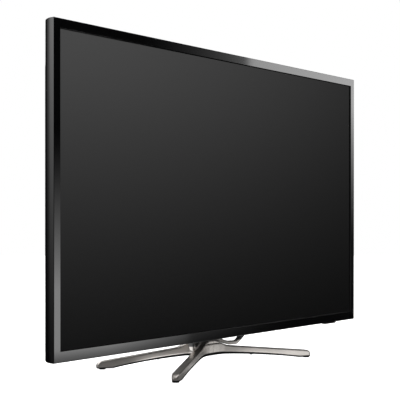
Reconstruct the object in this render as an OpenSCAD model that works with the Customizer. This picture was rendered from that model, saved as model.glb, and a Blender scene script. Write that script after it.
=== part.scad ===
// Flat screen television with an edge-lit panel, a deep lower back and a four-legged swivel stand.
// Units are millimetres, +Z is up, and the origin lies on the floor under the swivel axis.
// The set is drawn in its own frame: X across, Y backwards from the bezel's face, Z up from its lower edge.

/* [Screen] */
// Width of the lit picture
active_w = 885.6; // [820:0.1:1000]
// Height of the lit picture
active_h = 498.2; // [460:0.1:620]
// Glass beyond the picture on each side
panel_border = 5; // [4:0.1:5.5]
// Thickness of the glass panel
panel_t = 1.6; // [1.2:0.1:2]

/* [Bezel] */
// Width of the bezel's face at the sides
bezel_side = 15; // [14:0.1:24]
// Width of the bezel's face at the top
bezel_top = 16; // [15.5:0.1:26]
// Width of the bezel's face at the bottom
bezel_bottom = 18.5; // [18.3:0.1:30]
// Depth of the bezel's side wall
bezel_depth = 24; // [20:0.1:27]
// Depth over which the side wall is straight
bezel_flat = 7; // [4:0.1:10]
// How far the side wall curls inward at the back
bezel_curl = 5; // [3:0.1:6]
// Thickness of the bezel's face
bezel_face = 2.2; // [1.8:0.1:3]
// Thickness of the bezel's side wall
bezel_wall = 2; // [1.5:0.1:2.2]
// Width of the bevel around the picture
bevel_w = 2.4; // [1:0.1:4]
// Depth of the bevel around the picture
bevel_d = 1.5; // [0.5:0.1:1.7]
// Width of the remote receiver's window
window_w = 46; // [30:1:60]
// Drop of the receiver's window below the bezel
window_drop = 3; // [2:0.1:5]
// Distance of the receiver's window from the right edge
window_inset = 95; // [60:1:130]

/* [Backlight] */
// Thickness of the foam gasket in front of the panel
gasket_t = 0.4; // [0.2:0.1:0.8]
// Thickness of the frame's ledge behind the panel
ledge_t = 0.8; // [0.6:0.1:1.2]
// Thickness of one optical sheet
sheet_t = 0.3; // [0.2:0.05:0.5]
// Number of optical sheets
sheet_count = 3; // [2:1:4]
// Thickness of the light guide plate
guide_t = 3; // [2.5:0.1:4]
// Thickness of the reflector sheet
reflector_t = 0.3; // [0.2:0.05:0.5]
// Thickness of the rear chassis
chassis_t = 1; // [0.8:0.1:1.5]
// Spacing of the light-emitting diodes
led_pitch = 18; // [12:0.5:30]

/* [Rear cover] */
// Depth of the set over the lower back
set_depth = 88; // [80:0.5:100]
// Depth of the set over the flat upper back
step_depth = 34; // [34:0.5:40]
// Inset of the flat upper back from the set's outline
step_inset = 26; // [20:0.5:36]
// Wall of the rear cover
cover_wall = 2.5; // [2:0.1:3]
// Height of the cover's floor above the set's lower edge
cover_foot = 8; // [7.6:0.1:12]
// Width of the lower back
pod_w = 540; // [520:1:560]
// Height of the lower back
pod_h = 322; // [316:1:340]
// Taper of the lower back on the sides and top
pod_taper = 18; // [8:0.5:26]
// Spacing of the vent slots
vent_pitch = 16; // [12:0.5:30]
// Width of one vent slot
vent_w = 5; // [3:0.1:7]

/* [Wall mount] */
// Spacing of the wall mount's holes
mount_pitch = 200; // [196:1:204]
// Height of the wall mount's centre above the set's lower edge
mount_z = 190; // [186:1:196]
// Bore of the wall mount's inserts
insert_bore_d = 6.8; // [5:0.1:8.5]
// Outside diameter of the wall mount's inserts
insert_d = 14; // [12:0.1:16]

/* [Stand] */
// Height of the set's lower edge above the floor
floor_gap = 56; // [54:0.5:70]
// Distance of the swivel axis behind the bezel's face
axis_setback = 70; // [66:0.5:72]
// Front feet, sideways from the axis
front_foot_x = 206; // [160:0.5:280]
// Front feet, forward of the axis
front_foot_y = 104; // [80:0.5:130]
// Rear feet, sideways from the axis
rear_foot_x = 171; // [140:0.5:240]
// Rear feet, behind the axis
rear_foot_y = 102.4; // [80:0.1:130]
// Leg beyond the centre of its front foot
front_toe = 9; // [8:0.5:14]
// Leg beyond the centre of its rear foot
rear_toe = 12; // [9:0.5:14]
// Crossing of the front legs, forward of the axis
leg_cross = 3.5; // [0:0.5:6]
// Width of a leg at the axis
leg_root_w = 15; // [14:0.5:24]
// Width of a leg at its tip
leg_tip_w = 14.5; // [14.5:0.5:20]
// Top of the legs where they leave the column
leg_root_z = 33; // [29:0.5:34]
// Top of the legs where the tip's rounding starts
leg_tip_z = 15.5; // [12:0.5:17]
// Height of the arch under the middle of the stand
arch_z = 18.2; // [16:0.2:20.4]
// Upward bow of the leg's underside
arch_bow = 2.3; // [0:0.1:3]
// Fillet between the two front legs and between the two rear legs
web_front_r = 100; // [60:1:120]
// Fillet between a front leg and a rear leg
web_side_r = 14; // [6:0.5:18]
// Radius of the column under the set
column_r = 24; // [22:0.5:26]
// Top of the column's flare
column_z = 47; // [46:0.5:49]
// Thickness of the liner under the stand
liner_t = 4; // [2:0.1:4.4]
// Thickness of the liner at the tips
liner_tip_t = 1.8; // [1:0.1:3]
// Height of a foot pad
pad_h = 2; // [1.6:0.1:4]
// Diameter of a foot pad
pad_d = 12.5; // [10:0.5:13.5]

/* [Swivel] */
// Height of the plane between the stand and the neck
split_z = 40; // [38:0.5:41]
// Diameter of the swivel shaft
shaft_d = 16; // [12:0.1:18]
// Thickness of the bearing washer
bearing_t = 0.6; // [0.4:0.1:1.2]
// Width of the neck's arms and tongues
arm_depth = 10; // [9:0.5:14]
// Thickness of the neck's arms
arm_t = 7.4; // [5:0.2:8]
// Turn of the neck's arms towards the front
arm_turn = 24; // [16:1:26]
// Distance from the axis at which the neck's arms sweep up to the set
arm_reach = 70; // [62:1:76]
// Height of the neck's tongues inside the set
tongue_h = 76; // [70:1:78]

/* [Joystick] */
// Distance of the joystick from the right edge
jog_inset = 70; // [64:1:76]
// Height of the joystick above the set's lower edge
jog_z = 46; // [42:1:52]
// Diameter of the joystick's cap
jog_cap_d = 14; // [12:0.5:15]
// Height of the cap above the rear cover
jog_rise = 6.5; // [6:0.1:9]
// Travel of the cap when it is pressed
jog_press = 0.8; // [0.4:0.1:1]

/* [Fits] */
// Radial play of the swivel shaft and of the joystick's pivots
running_play = 0.05; // [0.02:0.01:0.1]
// Play around a piece that slips into place
slip_play = 0.3; // [0.2:0.05:0.5]
// Radial play around a screw
screw_play = 0.15; // [0.1:0.05:0.3]
// Gap between the stand's casting and its liner
liner_gap = 0.15; // [0.1:0.05:0.3]

/* [Hidden] */
$fn = 48;
eps = 1;

// Outline of the set
set_w = active_w + 2 * bezel_side;
set_h = active_h + bezel_top + bezel_bottom;
picture_x = active_w / 2;
picture_top = bezel_bottom + active_h;
curl_steps = 8;
bezel_edge = 0.5;

// Layers from the bezel's face to the back of the chassis
panel_y = bezel_face + gasket_t;
ledge_y = panel_y + panel_t;
sheets_y = ledge_y + ledge_t;
guide_y = sheets_y + sheet_count * sheet_t;
reflector_y = guide_y + guide_t;
chassis_y = reflector_y + reflector_t;
back_y = chassis_y + chassis_t;

// Panel frame and the row of diodes along its lower edge
gasket_lap = 1;
opening_lap = 1.5;
sheet_lap = 3;
sheet_play = 0.4;
sheet_step = 0.2;
frame_wall = 2.8;
frame_lap = sheet_lap + sheet_play + frame_wall;
frame_x = picture_x + frame_lap;
frame_top = picture_top + frame_lap;
guide_drop = 5;
led_gap = 0.6;
led_h = 1.7;
led_w = 6;
led_inset = 0.2;
led_board_t = 1;
led_sink_t = 1.3;
frame_floor = 1.5;
guide_z = bezel_bottom - guide_drop;
led_top_z = guide_z - led_gap;
led_board_z = led_top_z - led_h;
led_sink_z = led_board_z - led_board_t;
frame_floor_z = led_sink_z - led_sink_t;
frame_z = frame_floor_z - frame_floor;
led_count = floor((active_w - led_pitch) / led_pitch);

// Rear cover
cover_r = 12;
skin = 0.01;
step_x = set_w / 2 - step_inset;
step_top = set_h - step_inset;
pod_top = cover_foot + pod_h;
inside_y = step_depth - cover_wall;
bay_out = 30;
bay_in = 34;
bay_floor_y = 22;
bay_x = pod_w / 2 - bay_in;
vent_margin = 20;
vent_count = floor((pod_w - 2 * vent_margin) / vent_pitch);
vent_h = 34;
vent_z = set_h - step_inset - vent_h - step_inset;
sound_pitch = 9;
sound_w = 4;
sound_d = 10;
neck_room = 2;
head_recess = 0.4;
boss_set = 0.2;

// Circuit boards
board_t = 1.6;
board_y = 24;
board_face = board_y + board_t;
mount_half = mount_pitch / 2;
board_gap = insert_d / 2 + 7;
board_z0 = mount_z - mount_half + board_gap;
board_z1 = mount_z + mount_half - board_gap;
board_inner = 66;
board_outer = bay_x - cover_wall - 1.5;
board_edge = 8;
jack_z0 = board_z0 + 6;
jack_z1 = board_z1 - 6;
inlet_z = board_z0 + 40;
inlet_half = 11;
inlet_h = 17.4;
inlet_bay = 30;
tcon_half = mount_half + 50;
tcon_z0 = set_h - 150;
tcon_z1 = set_h - 86;
tcon_y = back_y + 4;
tcon_face = tcon_y + board_t;
source_t = 1.2;
source_z0 = frame_top - 50;
source_z1 = frame_top - 30;
source_x0 = 30;
source_x1 = picture_x - 30;
source_face = back_y + source_t;
film_t = 0.25;
film_count = 4;
film_w = 34;
film_rise = 1.2;
film_lap = 6;
ribbon_t = 0.3;
ribbon_lead = 4;
lvds_w = 24;
rail_h = 3;
rail_x = set_w / 2 - 130;

// Receiver window and its board
window_x = set_w / 2 - window_inset;
window_y0 = 4;
window_d = 8;
window_lip = 2;
window_r = 5;
window_stem = 4;
window_stem_h = 1;
receiver_t = 1.2;

// Parts on the timing board and its cables
tcon_chip = 28;
tcon_chip_t = 1.4;
tcon_chip_up = 20;
tcon_memory_x = [-70, 44];
tcon_memory_w = 26;
tcon_memory_h = 16;
tcon_memory_t = 1;
tcon_memory_up = 18;
tcon_ribbon_x = [-72, 42];
tcon_ribbon_w = 30;
tcon_ribbon_lap = 7;
lvds_lap = 12;
lvds_bow = 2;
lvds_clear = 5;

// Parts on the main board
chip_x = -board_inner - 84;
chip_z = (board_z0 + board_z1) / 2;
chip_half = 16;
chip_t = 1.6;
memory_half = 10;
memory_h = 14;
memory_t = 1.2;
memory_z = [chip_z - 54, chip_z + 38];
sink_lap = 6;
sink_base = 3;
sink_h = 14;
sink_fin_t = 2;
sink_fin_count = 7;

// Parts on the power board
power_fin_x = board_inner + 24;
power_fin_t = 4;
power_fin_z0 = board_z0 + 44;
power_fin_z1 = board_z0 + 98;
power_fin_h = 26;
transformer_x = 130;
transformer_z = board_z1 - 50;
transformer_h = 26;
transformer_half = 20;
transformer_core_half = 17;
coil_lap = 4;
coil_half = 13;
coil_y0 = 6;
coil_y1 = 20;
capacitor_r = 9;
capacitor_h = 30;
capacitor_pitch = 20.7;
capacitor_x = board_outer - 22;
capacitor_z = board_z1 - 24;

// Mains inlet at the outer edge of the power board, open to the side
inlet_y = board_face + inlet_h / 2;
inlet_face = bay_x + 1.2;
inlet_back = board_outer - 20;
inlet_depth = 14;
inlet_slot_r = 4.3;
inlet_pin_x = 4.3;
inlet_pin_r = 1.2;
inlet_pin_set = 4;

// Plugs and wires
plug_h = 7;
plug_w = 10;
plug_d = 8;
plug_edge = 2;
wire_r = 1;
harness_z = chip_z + 20;
harness_count = 6;
harness_pitch = 2.6;
harness_wire_r = 0.9;
plug_wire_y = 3;
led_wire_r = 0.8;
led_plug_h = 4;
led_plug_w = 12;
led_plug_up = 12;
led_wire_in = 5;
led_wire_out = 8;
led_wire_drop = 24;

// Row of sockets along the outer edge of the main board
jack_count = 7;
jack_margin = 12;
jack_step = (jack_z1 - jack_z0 - 2 * jack_margin) / jack_count;
jack_frame = 4;
jack_window_h = 20;
socket_face = -bay_x - 1.6;
socket_run = 14;
socket_back = -board_outer + socket_run;
socket_wall = 0.6;
socket_depth = 10;
tongue_set = 1.2;
tongue_side = 2.2;
plate_t = 1;
plate_h = 26;
hdmi_size = [15, 6.2];
hdmi_tongue = 1;
usb_size = [13.4, 6.4];
usb_tongue = 1.8;
lan_size = [16, 13.6];
lan_wall = 2;
lan_depth = 11;
av_r = 4.2;
av_bore_r = 1.7;
av_body = 11;
jack_axis_y = board_face + av_body / 2;
av_proud = 7;
tuner_r = 4.7;
tuner_bore_r = 2.4;
tuner_half = 8;
tuner_run = 34;
tuner_proud = 9;
insert_depth = 40;

// Wireless module
wifi_x = -set_w / 2 + 128;
wifi_z = set_h - 115;
wifi_w = 40;
wifi_h = 25;
wifi_t = 1.2;
wifi_can = 20;
wifi_can_y = 3.4;
wifi_edge = 4;

// Screws
thread_grip = 5;
head_lap = 0.5;
screw_r = 1.5;
screw_head_r = 2.8;
screw_head_h = 1.8;
post_r = 3;
cover_screw_r = 2;
cover_head_r = 4;
cover_head_h = 2.4;
boss_r = 4.6;
cover_head_y = step_depth - cover_head_h - head_recess;
rail_w = 20;
cover_screw_inset = 62;
cover_screw_up = 30;
cover_screw_spots = [
    for (x = [-1, 1])
        for (z = [cover_screw_inset + cover_screw_up, set_h / 2, source_z0 - rail_w])
            [x * (set_w / 2 - cover_screw_inset), z],
    [0, (pod_top + rail_w + tcon_z0) / 2]
];
main_spots = [
    for (x = [-board_outer + board_edge, -board_inner - board_edge])
        for (z = [board_z0 + board_edge, board_z1 - board_edge])
            [x, z]
];
power_spots = [for (p = main_spots) [-p[0], p[1]]];
tcon_spots = [
    for (x = [-1, 1])
        for (z = [tcon_z0 + board_edge, tcon_z1 - board_edge])
            [x * (tcon_half - board_edge), z]
];

// Stand
front_foot_r = norm([front_foot_x, front_foot_y]);
rear_foot_r = norm([rear_foot_x, rear_foot_y]);
front_reach = front_foot_r + front_toe;
rear_reach = rear_foot_r + rear_toe;
front_turn = atan2(front_foot_y, front_foot_x);
rear_turn = atan2(rear_foot_y, rear_foot_x);
flare_r = 60;
flare_power = 1.6;
arch_r = 38;
foot_run = 20;
tip_lip = 1.5;
tip_round = 14;
tip_z = pad_h + liner_tip_t + tip_lip;
profile_steps = 12;
liner_inset = 0.5;
shaft_head_r = 13;
shaft_head_h = 4;
liner_screw_at = 0.45;
liner_head_gap = 0.4;

// Swivel and neck, from the floor up
neck_z = split_z + bearing_t;
saddle_z = 52;
saddle_x = 44;
saddle_y = 13;
friction_t = 1;
spring_t = 1.2;
nut_h = 8;
nut_r = 14;
washer_r = 20;
shaft_proud = 1;
shaft_top = saddle_z + friction_t + spring_t + nut_h + shaft_proud;
bearing_r = 22;
arm_clear = 0.9;
arm_rise = 1.2;
arm_root_step = 0.5;
arm_root_z = neck_z + arm_root_step;
arm_low = leg_root_z + arm_rise;
arm_bend_r = 4;
arm_slope = 45;
tongue_x0 = 22;
tongue_top = cover_foot + tongue_h;
arm_top = floor_gap + bezel_curl - slip_play;
bracket_wall = 4;
bracket_foot = 18;
neck_screw_r = 2.4;
neck_head_r = 4.4;
neck_head_h = 3;
bracket_plate = 2;
spring_r = nut_r + 1;
neck_screw_x = (tongue_x0 + saddle_x) / 2;
neck_screw_z = [34, 66];
neck_screw_spots = [for (x = [-1, 1]) for (z = neck_screw_z) [x * neck_screw_x, z]];

// Joystick: the gimbal's centre and the pieces around it
jog_x = set_w / 2 - jog_inset;
jog_y = step_depth - 10;
jog_board_y = back_y + 2;
jog_board_half = 15;
jog_case_half = 12.5;
jog_case_r = 9.6;
jog_ring_out = 8;
jog_ring_in = 5.4;
jog_ring_t = 2.4;
jog_pin_r = 1;
jog_stem_r = 2.2;
jog_hub_r = 3.6;
jog_sleeve_r = 4;
jog_sleeve_len = 5.5;
jog_knob_h = 4;
jog_chamfer = 1.2;
jog_top_t = 1.6;
jog_stem_set = 2;
jog_stem_pin_r = 0.8;
jog_pin_set = 0.8;
jog_hub_back = 2;
jog_hub_front = 2.5;
jog_play = 0.5;
jog_switch_half = 3;
jog_switch_h = 3;
jog_post_r = 2;
jog_knob_y = step_depth + jog_rise - jog_knob_h;
jog_hole_r = jog_cap_d / 2 + 3;

// Speakers
speaker_w = 110;
speaker_h = 54;
speaker_gap = 1.3;
speaker_t = inside_y - back_y - speaker_gap;
speaker_x = set_w / 2 - 160;
speaker_z = cover_foot + cover_wall + 3;
driver_w = 60;
driver_d = 15;
driver_depth = 8;
driver_set = 0.5;
driver_rim = 2;
driver_cone = 3;
speaker_wire_gap = 0.1;
speaker_wire_turn = 30;
speaker_wire_in = 6;
speaker_wire_out = 10;
speaker_wire_high = 5;
speaker_wire_drop = 26;
speaker_wire_y = back_y + 3.5;
speaker_wire_up = 30;
speaker_wire_set = 60;
speaker_wire_pitch = 10;
speaker_wire_z = speaker_z + speaker_wire_up;
speaker_wire_near = -board_inner - speaker_wire_set;
speaker_wire_left = speaker_wire_near - speaker_wire_pitch;

// Places its children in the set's own frame
module in_set() {
    translate([0, -axis_setback, floor_gap]) children();
}

// Extrudes an outline drawn in X and Z from one depth to another
module slab(y0, y1) {
    translate([0, y1, 0]) rotate([90, 0, 0]) linear_extrude(y1 - y0) children();
}

// Extrudes an outline drawn in Y and Z from one X to another
module across(x0, x1) {
    translate([x0, 0, 0]) rotate([90, 0, 90]) linear_extrude(x1 - x0) children();
}

// Rectangle by its corners
module rect(x0, z0, x1, z1) {
    translate([x0, z0]) square([x1 - x0, z1 - z0]);
}

// Corner points of a rectangle with rounded corners
function round_rect(x0, z0, x1, z1, r, steps = 6) = [
    for (c = [[x1 - r, z1 - r, 0], [x0 + r, z1 - r, 90], [x0 + r, z0 + r, 180], [x1 - r, z0 + r, 270]])
        for (i = [0:steps])
            [c[0] + r * cos(c[2] + 90 * i / steps), c[1] + r * sin(c[2] + 90 * i / steps)]
];

function reversed(list) = [for (i = [len(list) - 1:-1:0]) list[i]];

// Block with mitred corners whose four sides follow one profile of [inset, depth] points
module mitred_block(half_w, z0, z1, profile) {
    right = [for (p = profile) [half_w - p[0], p[1]]];
    left = [for (p = reversed(profile)) [p[0] - half_w, p[1]]];
    low = [for (p = profile) [p[1], z0 + p[0]]];
    high = [for (p = reversed(profile)) [p[1], z1 - p[0]]];
    intersection() {
        translate([0, 0, z0 - eps]) linear_extrude(z1 - z0 + 2 * eps) polygon(concat(right, left));
        across(-half_w - eps, half_w + eps) polygon(concat(low, high));
    }
}

// Round bar or bore that runs backwards
module bar_y(x, z, y0, y1, r) {
    translate([x, y1, z]) rotate([90, 0, 0]) cylinder(h = y1 - y0, r = r);
}

// Round bar or bore that runs sideways
module bar_x(y, z, x0, x1, r) {
    translate([x0, y, z]) rotate([0, 90, 0]) cylinder(h = x1 - x0, r = r);
}

// Upright round bar or bore
module bar_z(x, y, z0, z1, r) {
    translate([x, y, z0]) cylinder(h = z1 - z0, r = r);
}

// Insulated wire along a list of points
module wire(points, r) {
    for (i = [0:len(points) - 2]) {
        run = points[i + 1] - points[i];
        translate(points[i])
            rotate([0, acos(run[2] / norm(run)), atan2(run[1], run[0])])
                cylinder(h = norm(run), r = r, $fn = 16);
        translate(points[i + 1]) sphere(r = r, $fn = 16);
    }
}

// Flat ribbon cable whose front face follows a path in Y and Z
module ribbon(x0, x1, path) {
    across(x0, x1) polygon(concat(path, [for (p = reversed(path)) [p[0] + ribbon_t, p[1]]]));
}

// Ring of rectangular outline between two depths
module rect_ring(y0, y1, out_x, out_z0, out_z1, in_x, in_z0, in_z1) {
    slab(y0, y1) difference() {
        rect(-out_x, out_z0, out_x, out_z1);
        rect(-in_x, in_z0, in_x, in_z1);
    }
}

// Stand: plan outline of one leg, straight from its crossing to its rounded tip
module leg_plan(turn, reach, root_y) {
    hull() {
        translate([0, root_y]) circle(d = leg_root_w, $fn = 32);
        rotate(turn) translate([reach - leg_tip_w / 2, 0]) circle(d = leg_tip_w, $fn = 32);
    }
}

// Stand: plan outline with fillets between the legs
module stand_plan() {
    offset(r = -web_side_r) offset(r = web_side_r) {
        offset(r = -web_front_r) offset(r = web_front_r) {
            leg_plan(-front_turn, front_reach, -leg_cross);
            leg_plan(180 + front_turn, front_reach, -leg_cross);
        }
        offset(r = -web_front_r) offset(r = web_front_r) {
            leg_plan(rear_turn, rear_reach, 0);
            leg_plan(180 - rear_turn, rear_reach, 0);
        }
        circle(r = column_r);
    }
}

// Top line of the stand at a radius, from the column's flare to the start of the tip
function flare_top(r) = leg_root_z
    + (column_z - leg_root_z) * pow((flare_r - r) / (flare_r - column_r), flare_power);
function arch_line(t, foot_r) = [
    arch_r + (foot_r - foot_run - arch_r) * t,
    arch_z + (pad_h - arch_z) * t + arch_bow * 4 * t * (1 - t)
];

// Underside of the stand, as points from the axis to the tip, raised by a share of the liner and a gap
function under_line(foot_r, reach, share, gap) = concat(
    [[0, arch_z + share * liner_t + gap]],
    [for (i = [0:profile_steps])
        let(t = i / profile_steps)
        arch_line(t, foot_r) + [0, share * (liner_t + (liner_tip_t - liner_t) * t) + gap]],
    [[reach + eps, pad_h + share * liner_tip_t + gap]]
);
function top_line(reach) = concat(
    [for (i = [profile_steps:-1:0])
        let(a = 90 * i / profile_steps)
        [reach - tip_round + tip_round * sin(a), tip_z + (leg_tip_z - tip_z) * cos(a)]],
    [[flare_r, leg_root_z]],
    [for (i = [profile_steps - 1:-1:0])
        let(r = column_r + (flare_r - column_r) * i / profile_steps)
        [r, flare_top(r)]],
    [[0, column_z]]
);

// Half turns of a front profile and a rear profile about the swivel axis
module half_turns() {
    rotate([0, 0, 180]) rotate_extrude(angle = 180) children(0);
    rotate_extrude(angle = 180) children(1);
}

// Whole stand above its liner, before it is split into the casting and the neck's foot
module stand_body() {
    intersection() {
        linear_extrude(column_z + eps) stand_plan();
        half_turns() {
            polygon(concat(under_line(front_foot_r, front_reach, 1, liner_gap), [[front_reach + eps, tip_z]],
                top_line(front_reach)));
            polygon(concat(under_line(rear_foot_r, rear_reach, 1, liner_gap), [[rear_reach + eps, tip_z]],
                top_line(rear_reach)));
        }
    }
}

// Places its children at each foot, on the floor
module at_feet() {
    for (side = [-1, 1]) {
        translate([side * front_foot_x, -front_foot_y, 0]) children();
        translate([side * rear_foot_x, rear_foot_y, 0]) children();
    }
}

// Liner screws sit part of the way along the middle of each leg
liner_screw_spots = [
    for (side = [-1, 1])
        for (leg = [[front_foot_x, -front_foot_y, -leg_cross], [rear_foot_x, rear_foot_y, 0]])
            let(foot = [side * leg[0], leg[1]])
            let(p = liner_screw_at * foot + (1 - liner_screw_at) * [0, leg[2]])
            let(t = (norm(p) - arch_r) / (norm(foot) - foot_run - arch_r))
            [p[0], p[1], arch_line(t, norm(foot))[1]]
];

module stand_base() {
    color("dimgray") difference() {
        stand_body();
        translate([0, 0, split_z]) linear_extrude(column_z) square(2 * flare_r, center = true);
        bar_z(0, 0, arch_z - eps, split_z + eps, shaft_d / 2 + running_play);
        bar_z(0, 0, arch_z - eps, arch_z + liner_t + liner_gap + shaft_head_h, shaft_head_r + slip_play);
        for (p = liner_screw_spots)
            bar_z(p[0], p[1], p[2] - eps, p[2] + liner_t + thread_grip + eps, screw_r + screw_play);
    }
}

module base_liner() {
    color("black") difference() {
        intersection() {
            linear_extrude(column_z) offset(delta = -liner_inset) stand_plan();
            half_turns() {
                polygon(concat(under_line(front_foot_r, front_reach, 0, 0),
                    reversed(under_line(front_foot_r, front_reach, 1, 0))));
                polygon(concat(under_line(rear_foot_r, rear_reach, 0, 0),
                    reversed(under_line(rear_foot_r, rear_reach, 1, 0))));
            }
        }
        bar_z(0, 0, arch_z - eps, arch_z + liner_t + eps, shaft_head_r + slip_play);
        for (p = liner_screw_spots)
            bar_z(p[0], p[1], p[2] - 2 * eps, p[2] + 2 * liner_t, screw_r + screw_play);
    }
}

module foot_pads() {
    color("black") at_feet() cylinder(h = pad_h, d = pad_d);
}

module liner_screws() {
    color("silver") for (p = liner_screw_spots) {
        bar_z(p[0], p[1], p[2] - screw_head_h, p[2] + liner_t + thread_grip, screw_r);
        bar_z(p[0], p[1], p[2] - screw_head_h, p[2] - liner_head_gap, screw_head_r);
    }
}

module swivel_shaft() {
    head_z = arch_z + liner_t + liner_gap;
    color("silver") {
        bar_z(0, 0, head_z, shaft_top, shaft_d / 2);
        bar_z(0, 0, head_z, head_z + shaft_head_h, shaft_head_r);
    }
}

// Flat washer around the swivel shaft
module shaft_washer(z, t, r) {
    difference() {
        bar_z(0, 0, z, z + t, r);
        bar_z(0, 0, z - eps, z + t + eps, shaft_d / 2 + running_play);
    }
}

module bearing_washer() {
    color("ivory") shaft_washer(split_z, bearing_t, bearing_r);
}

module friction_washer() {
    color("ivory") shaft_washer(saddle_z, friction_t, washer_r);
}

module spring_washer() {
    color("silver") shaft_washer(saddle_z + friction_t, spring_t, spring_r);
}

module swivel_nut() {
    z = saddle_z + friction_t + spring_t;
    color("silver") difference() {
        translate([0, 0, z]) cylinder(h = nut_h, r = nut_r, $fn = 6);
        bar_z(0, 0, z - eps, z + nut_h + eps, shaft_d / 2 + running_play);
    }
}

// Edge of a neck arm above its underside: over the stand's flare, then sweeping up towards the set's floor
function arm_end(lift) = [
    arm_reach + (arm_bend_r + arm_t - lift) * sin(arm_slope),
    arm_low + lift + (arm_bend_r + arm_t - lift) * (1 - cos(arm_slope))
];
function arm_edge(lift) = concat(
    [[column_r / 2, arm_root_z + lift]],
    [for (i = [0:profile_steps])
        let(r = column_r + (flare_r - column_r) * i / profile_steps)
        [r, max(arm_low, min(arm_root_z, flare_top(r) + arm_clear)) + lift]],
    [for (i = [0:profile_steps])
        let(a = arm_slope * i / profile_steps)
        let(bend = arm_bend_r + arm_t - lift)
        [arm_reach + bend * sin(a), arm_low + lift + bend * (1 - cos(a))]],
    [[arm_end(lift)[0] + (arm_top - arm_end(lift)[1]) / tan(arm_slope), arm_top]]
);

// One curved arm of the neck, over a front leg
module neck_arm() {
    rotate([0, 0, -arm_turn]) translate([0, arm_depth / 2, 0]) rotate([90, 0, 0])
        linear_extrude(arm_depth) polygon(concat(arm_edge(0), reversed(arm_edge(arm_t))));
}

module swivel_neck() {
    color("dimgray") difference() {
        union() {
            intersection() {
                stand_body();
                translate([0, 0, neck_z]) linear_extrude(column_z) square(2 * flare_r, center = true);
            }
            translate([-saddle_x, -saddle_y, column_z - eps])
                cube([2 * saddle_x, 2 * saddle_y, saddle_z - column_z + eps]);
            for (side = [0, 1]) mirror([side, 0, 0]) {
                neck_arm();
                translate([tongue_x0, -arm_depth / 2, saddle_z - eps])
                    cube([saddle_x - tongue_x0, arm_depth, floor_gap + tongue_top - saddle_z + eps]);
            }
        }
        bar_z(0, 0, split_z - eps, saddle_z + eps, shaft_d / 2 + running_play);
        in_set() {
            translate([-set_w / 2, -eps, -slip_play])
                cube([set_w, bezel_depth + slip_play + eps, cover_foot]);
            for (p = neck_screw_spots)
                bar_y(p[0], p[1], axis_setback - saddle_y, set_depth, neck_screw_r + screw_play);
        }
    }
}

module neck_screws() {
    back = axis_setback + arm_depth / 2 + slip_play + bracket_wall;
    color("silver") in_set() for (p = neck_screw_spots) {
        bar_y(p[0], p[1], axis_setback - arm_depth / 2, back + head_lap, neck_screw_r);
        bar_y(p[0], p[1], back, back + neck_head_h, neck_head_r);
    }
}

module stand_bracket() {
    half_y = arm_depth / 2 + slip_play + bracket_wall;
    half_x = saddle_x + slip_play + bracket_wall;
    z0 = cover_foot + cover_wall;
    color("lightgray") in_set() difference() {
        union() {
            translate([-half_x, axis_setback - half_y, z0])
                cube([2 * half_x, 2 * half_y, tongue_h - cover_wall]);
            for (x = [-half_x, half_x - bracket_wall])
                translate([x, back_y, z0]) cube([bracket_wall, axis_setback - back_y, tongue_h - cover_wall]);
            slab(back_y, back_y + bracket_plate)
                rect(-half_x - bracket_foot, z0, half_x + bracket_foot, tongue_top);
        }
        for (side = [0, 1]) mirror([side, 0, 0])
            translate([tongue_x0 - slip_play, axis_setback - arm_depth / 2 - slip_play, z0 - eps])
                cube([saddle_x - tongue_x0 + 2 * slip_play, arm_depth + 2 * slip_play, tongue_h + 2 * eps]);
        translate([-tongue_x0 + bracket_wall, axis_setback - half_y - eps, z0 - eps])
            cube([2 * (tongue_x0 - bracket_wall), 2 * half_y + 2 * eps, tongue_h + 2 * eps]);
        for (p = neck_screw_spots)
            bar_y(p[0], p[1], axis_setback - half_y - eps, set_depth, neck_screw_r + screw_play);
    }
}

// Side wall of the bezel: straight at the front, then curling inward, all inset by a thickness
function side_profile(inset, y0) = concat(
    [[inset, y0], [inset, bezel_flat]],
    [for (i = [1:curl_steps])
        let(a = 90 * i / curl_steps)
        [inset + bezel_curl * (1 - cos(a)), bezel_flat + (bezel_depth - bezel_flat) * sin(a)]]
);

module front_bezel() {
    shell = concat([[bezel_edge, 0]], side_profile(0, bezel_edge));
    room = concat(side_profile(bezel_wall, bezel_face),
        [[bezel_wall + bezel_curl, bezel_depth + eps]]);
    bevel = [[-bevel_w, 0], [0, bevel_d], [0, bezel_face + eps]];
    color("black") in_set() difference() {
        mitred_block(set_w / 2, 0, set_h, shell);
        mitred_block(set_w / 2, 0, set_h, room);
        mitred_block(picture_x, bezel_bottom, picture_top, concat([[-bevel_w, -eps]], bevel));
        translate([window_x - window_w / 2 + window_stem, window_y0, -eps])
            cube([window_w - 2 * window_stem, window_d, bezel_wall + 2 * eps]);
    }
}

// Receiver window: a smoked bar under the bezel with a stem through its floor
module receiver_window() {
    x0 = window_x - window_w / 2;
    stem_w = window_w - 2 * (window_stem + slip_play);
    stem_d = window_d - 2 * slip_play;
    color("black") in_set() {
        translate([0, 0, -window_drop]) linear_extrude(window_drop) polygon(
            round_rect(x0, window_y0 - window_lip, x0 + window_w, window_y0 + window_d + eps, window_r));
        translate([x0 + window_stem + slip_play, window_y0 + slip_play, -eps])
            cube([stem_w, stem_d, eps + bezel_wall + window_stem_h]);
    }
}

module receiver_board() {
    color("darkgreen") in_set()
        translate([window_x - window_w / 2, window_y0, bezel_wall + window_stem_h])
            cube([window_w, window_d, receiver_t]);
}

module panel_gasket() {
    lap = panel_border - gasket_lap;
    color("black") in_set() rect_ring(bezel_face, panel_y,
        picture_x + panel_border, bezel_bottom - panel_border, picture_top + panel_border,
        picture_x + panel_border - lap, bezel_bottom - gasket_lap, picture_top + gasket_lap);
}

module lcd_panel() {
    color("#101214") in_set() slab(panel_y, ledge_y)
        rect(-picture_x - panel_border, bezel_bottom - panel_border,
            picture_x + panel_border, picture_top + panel_border);
}

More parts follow.
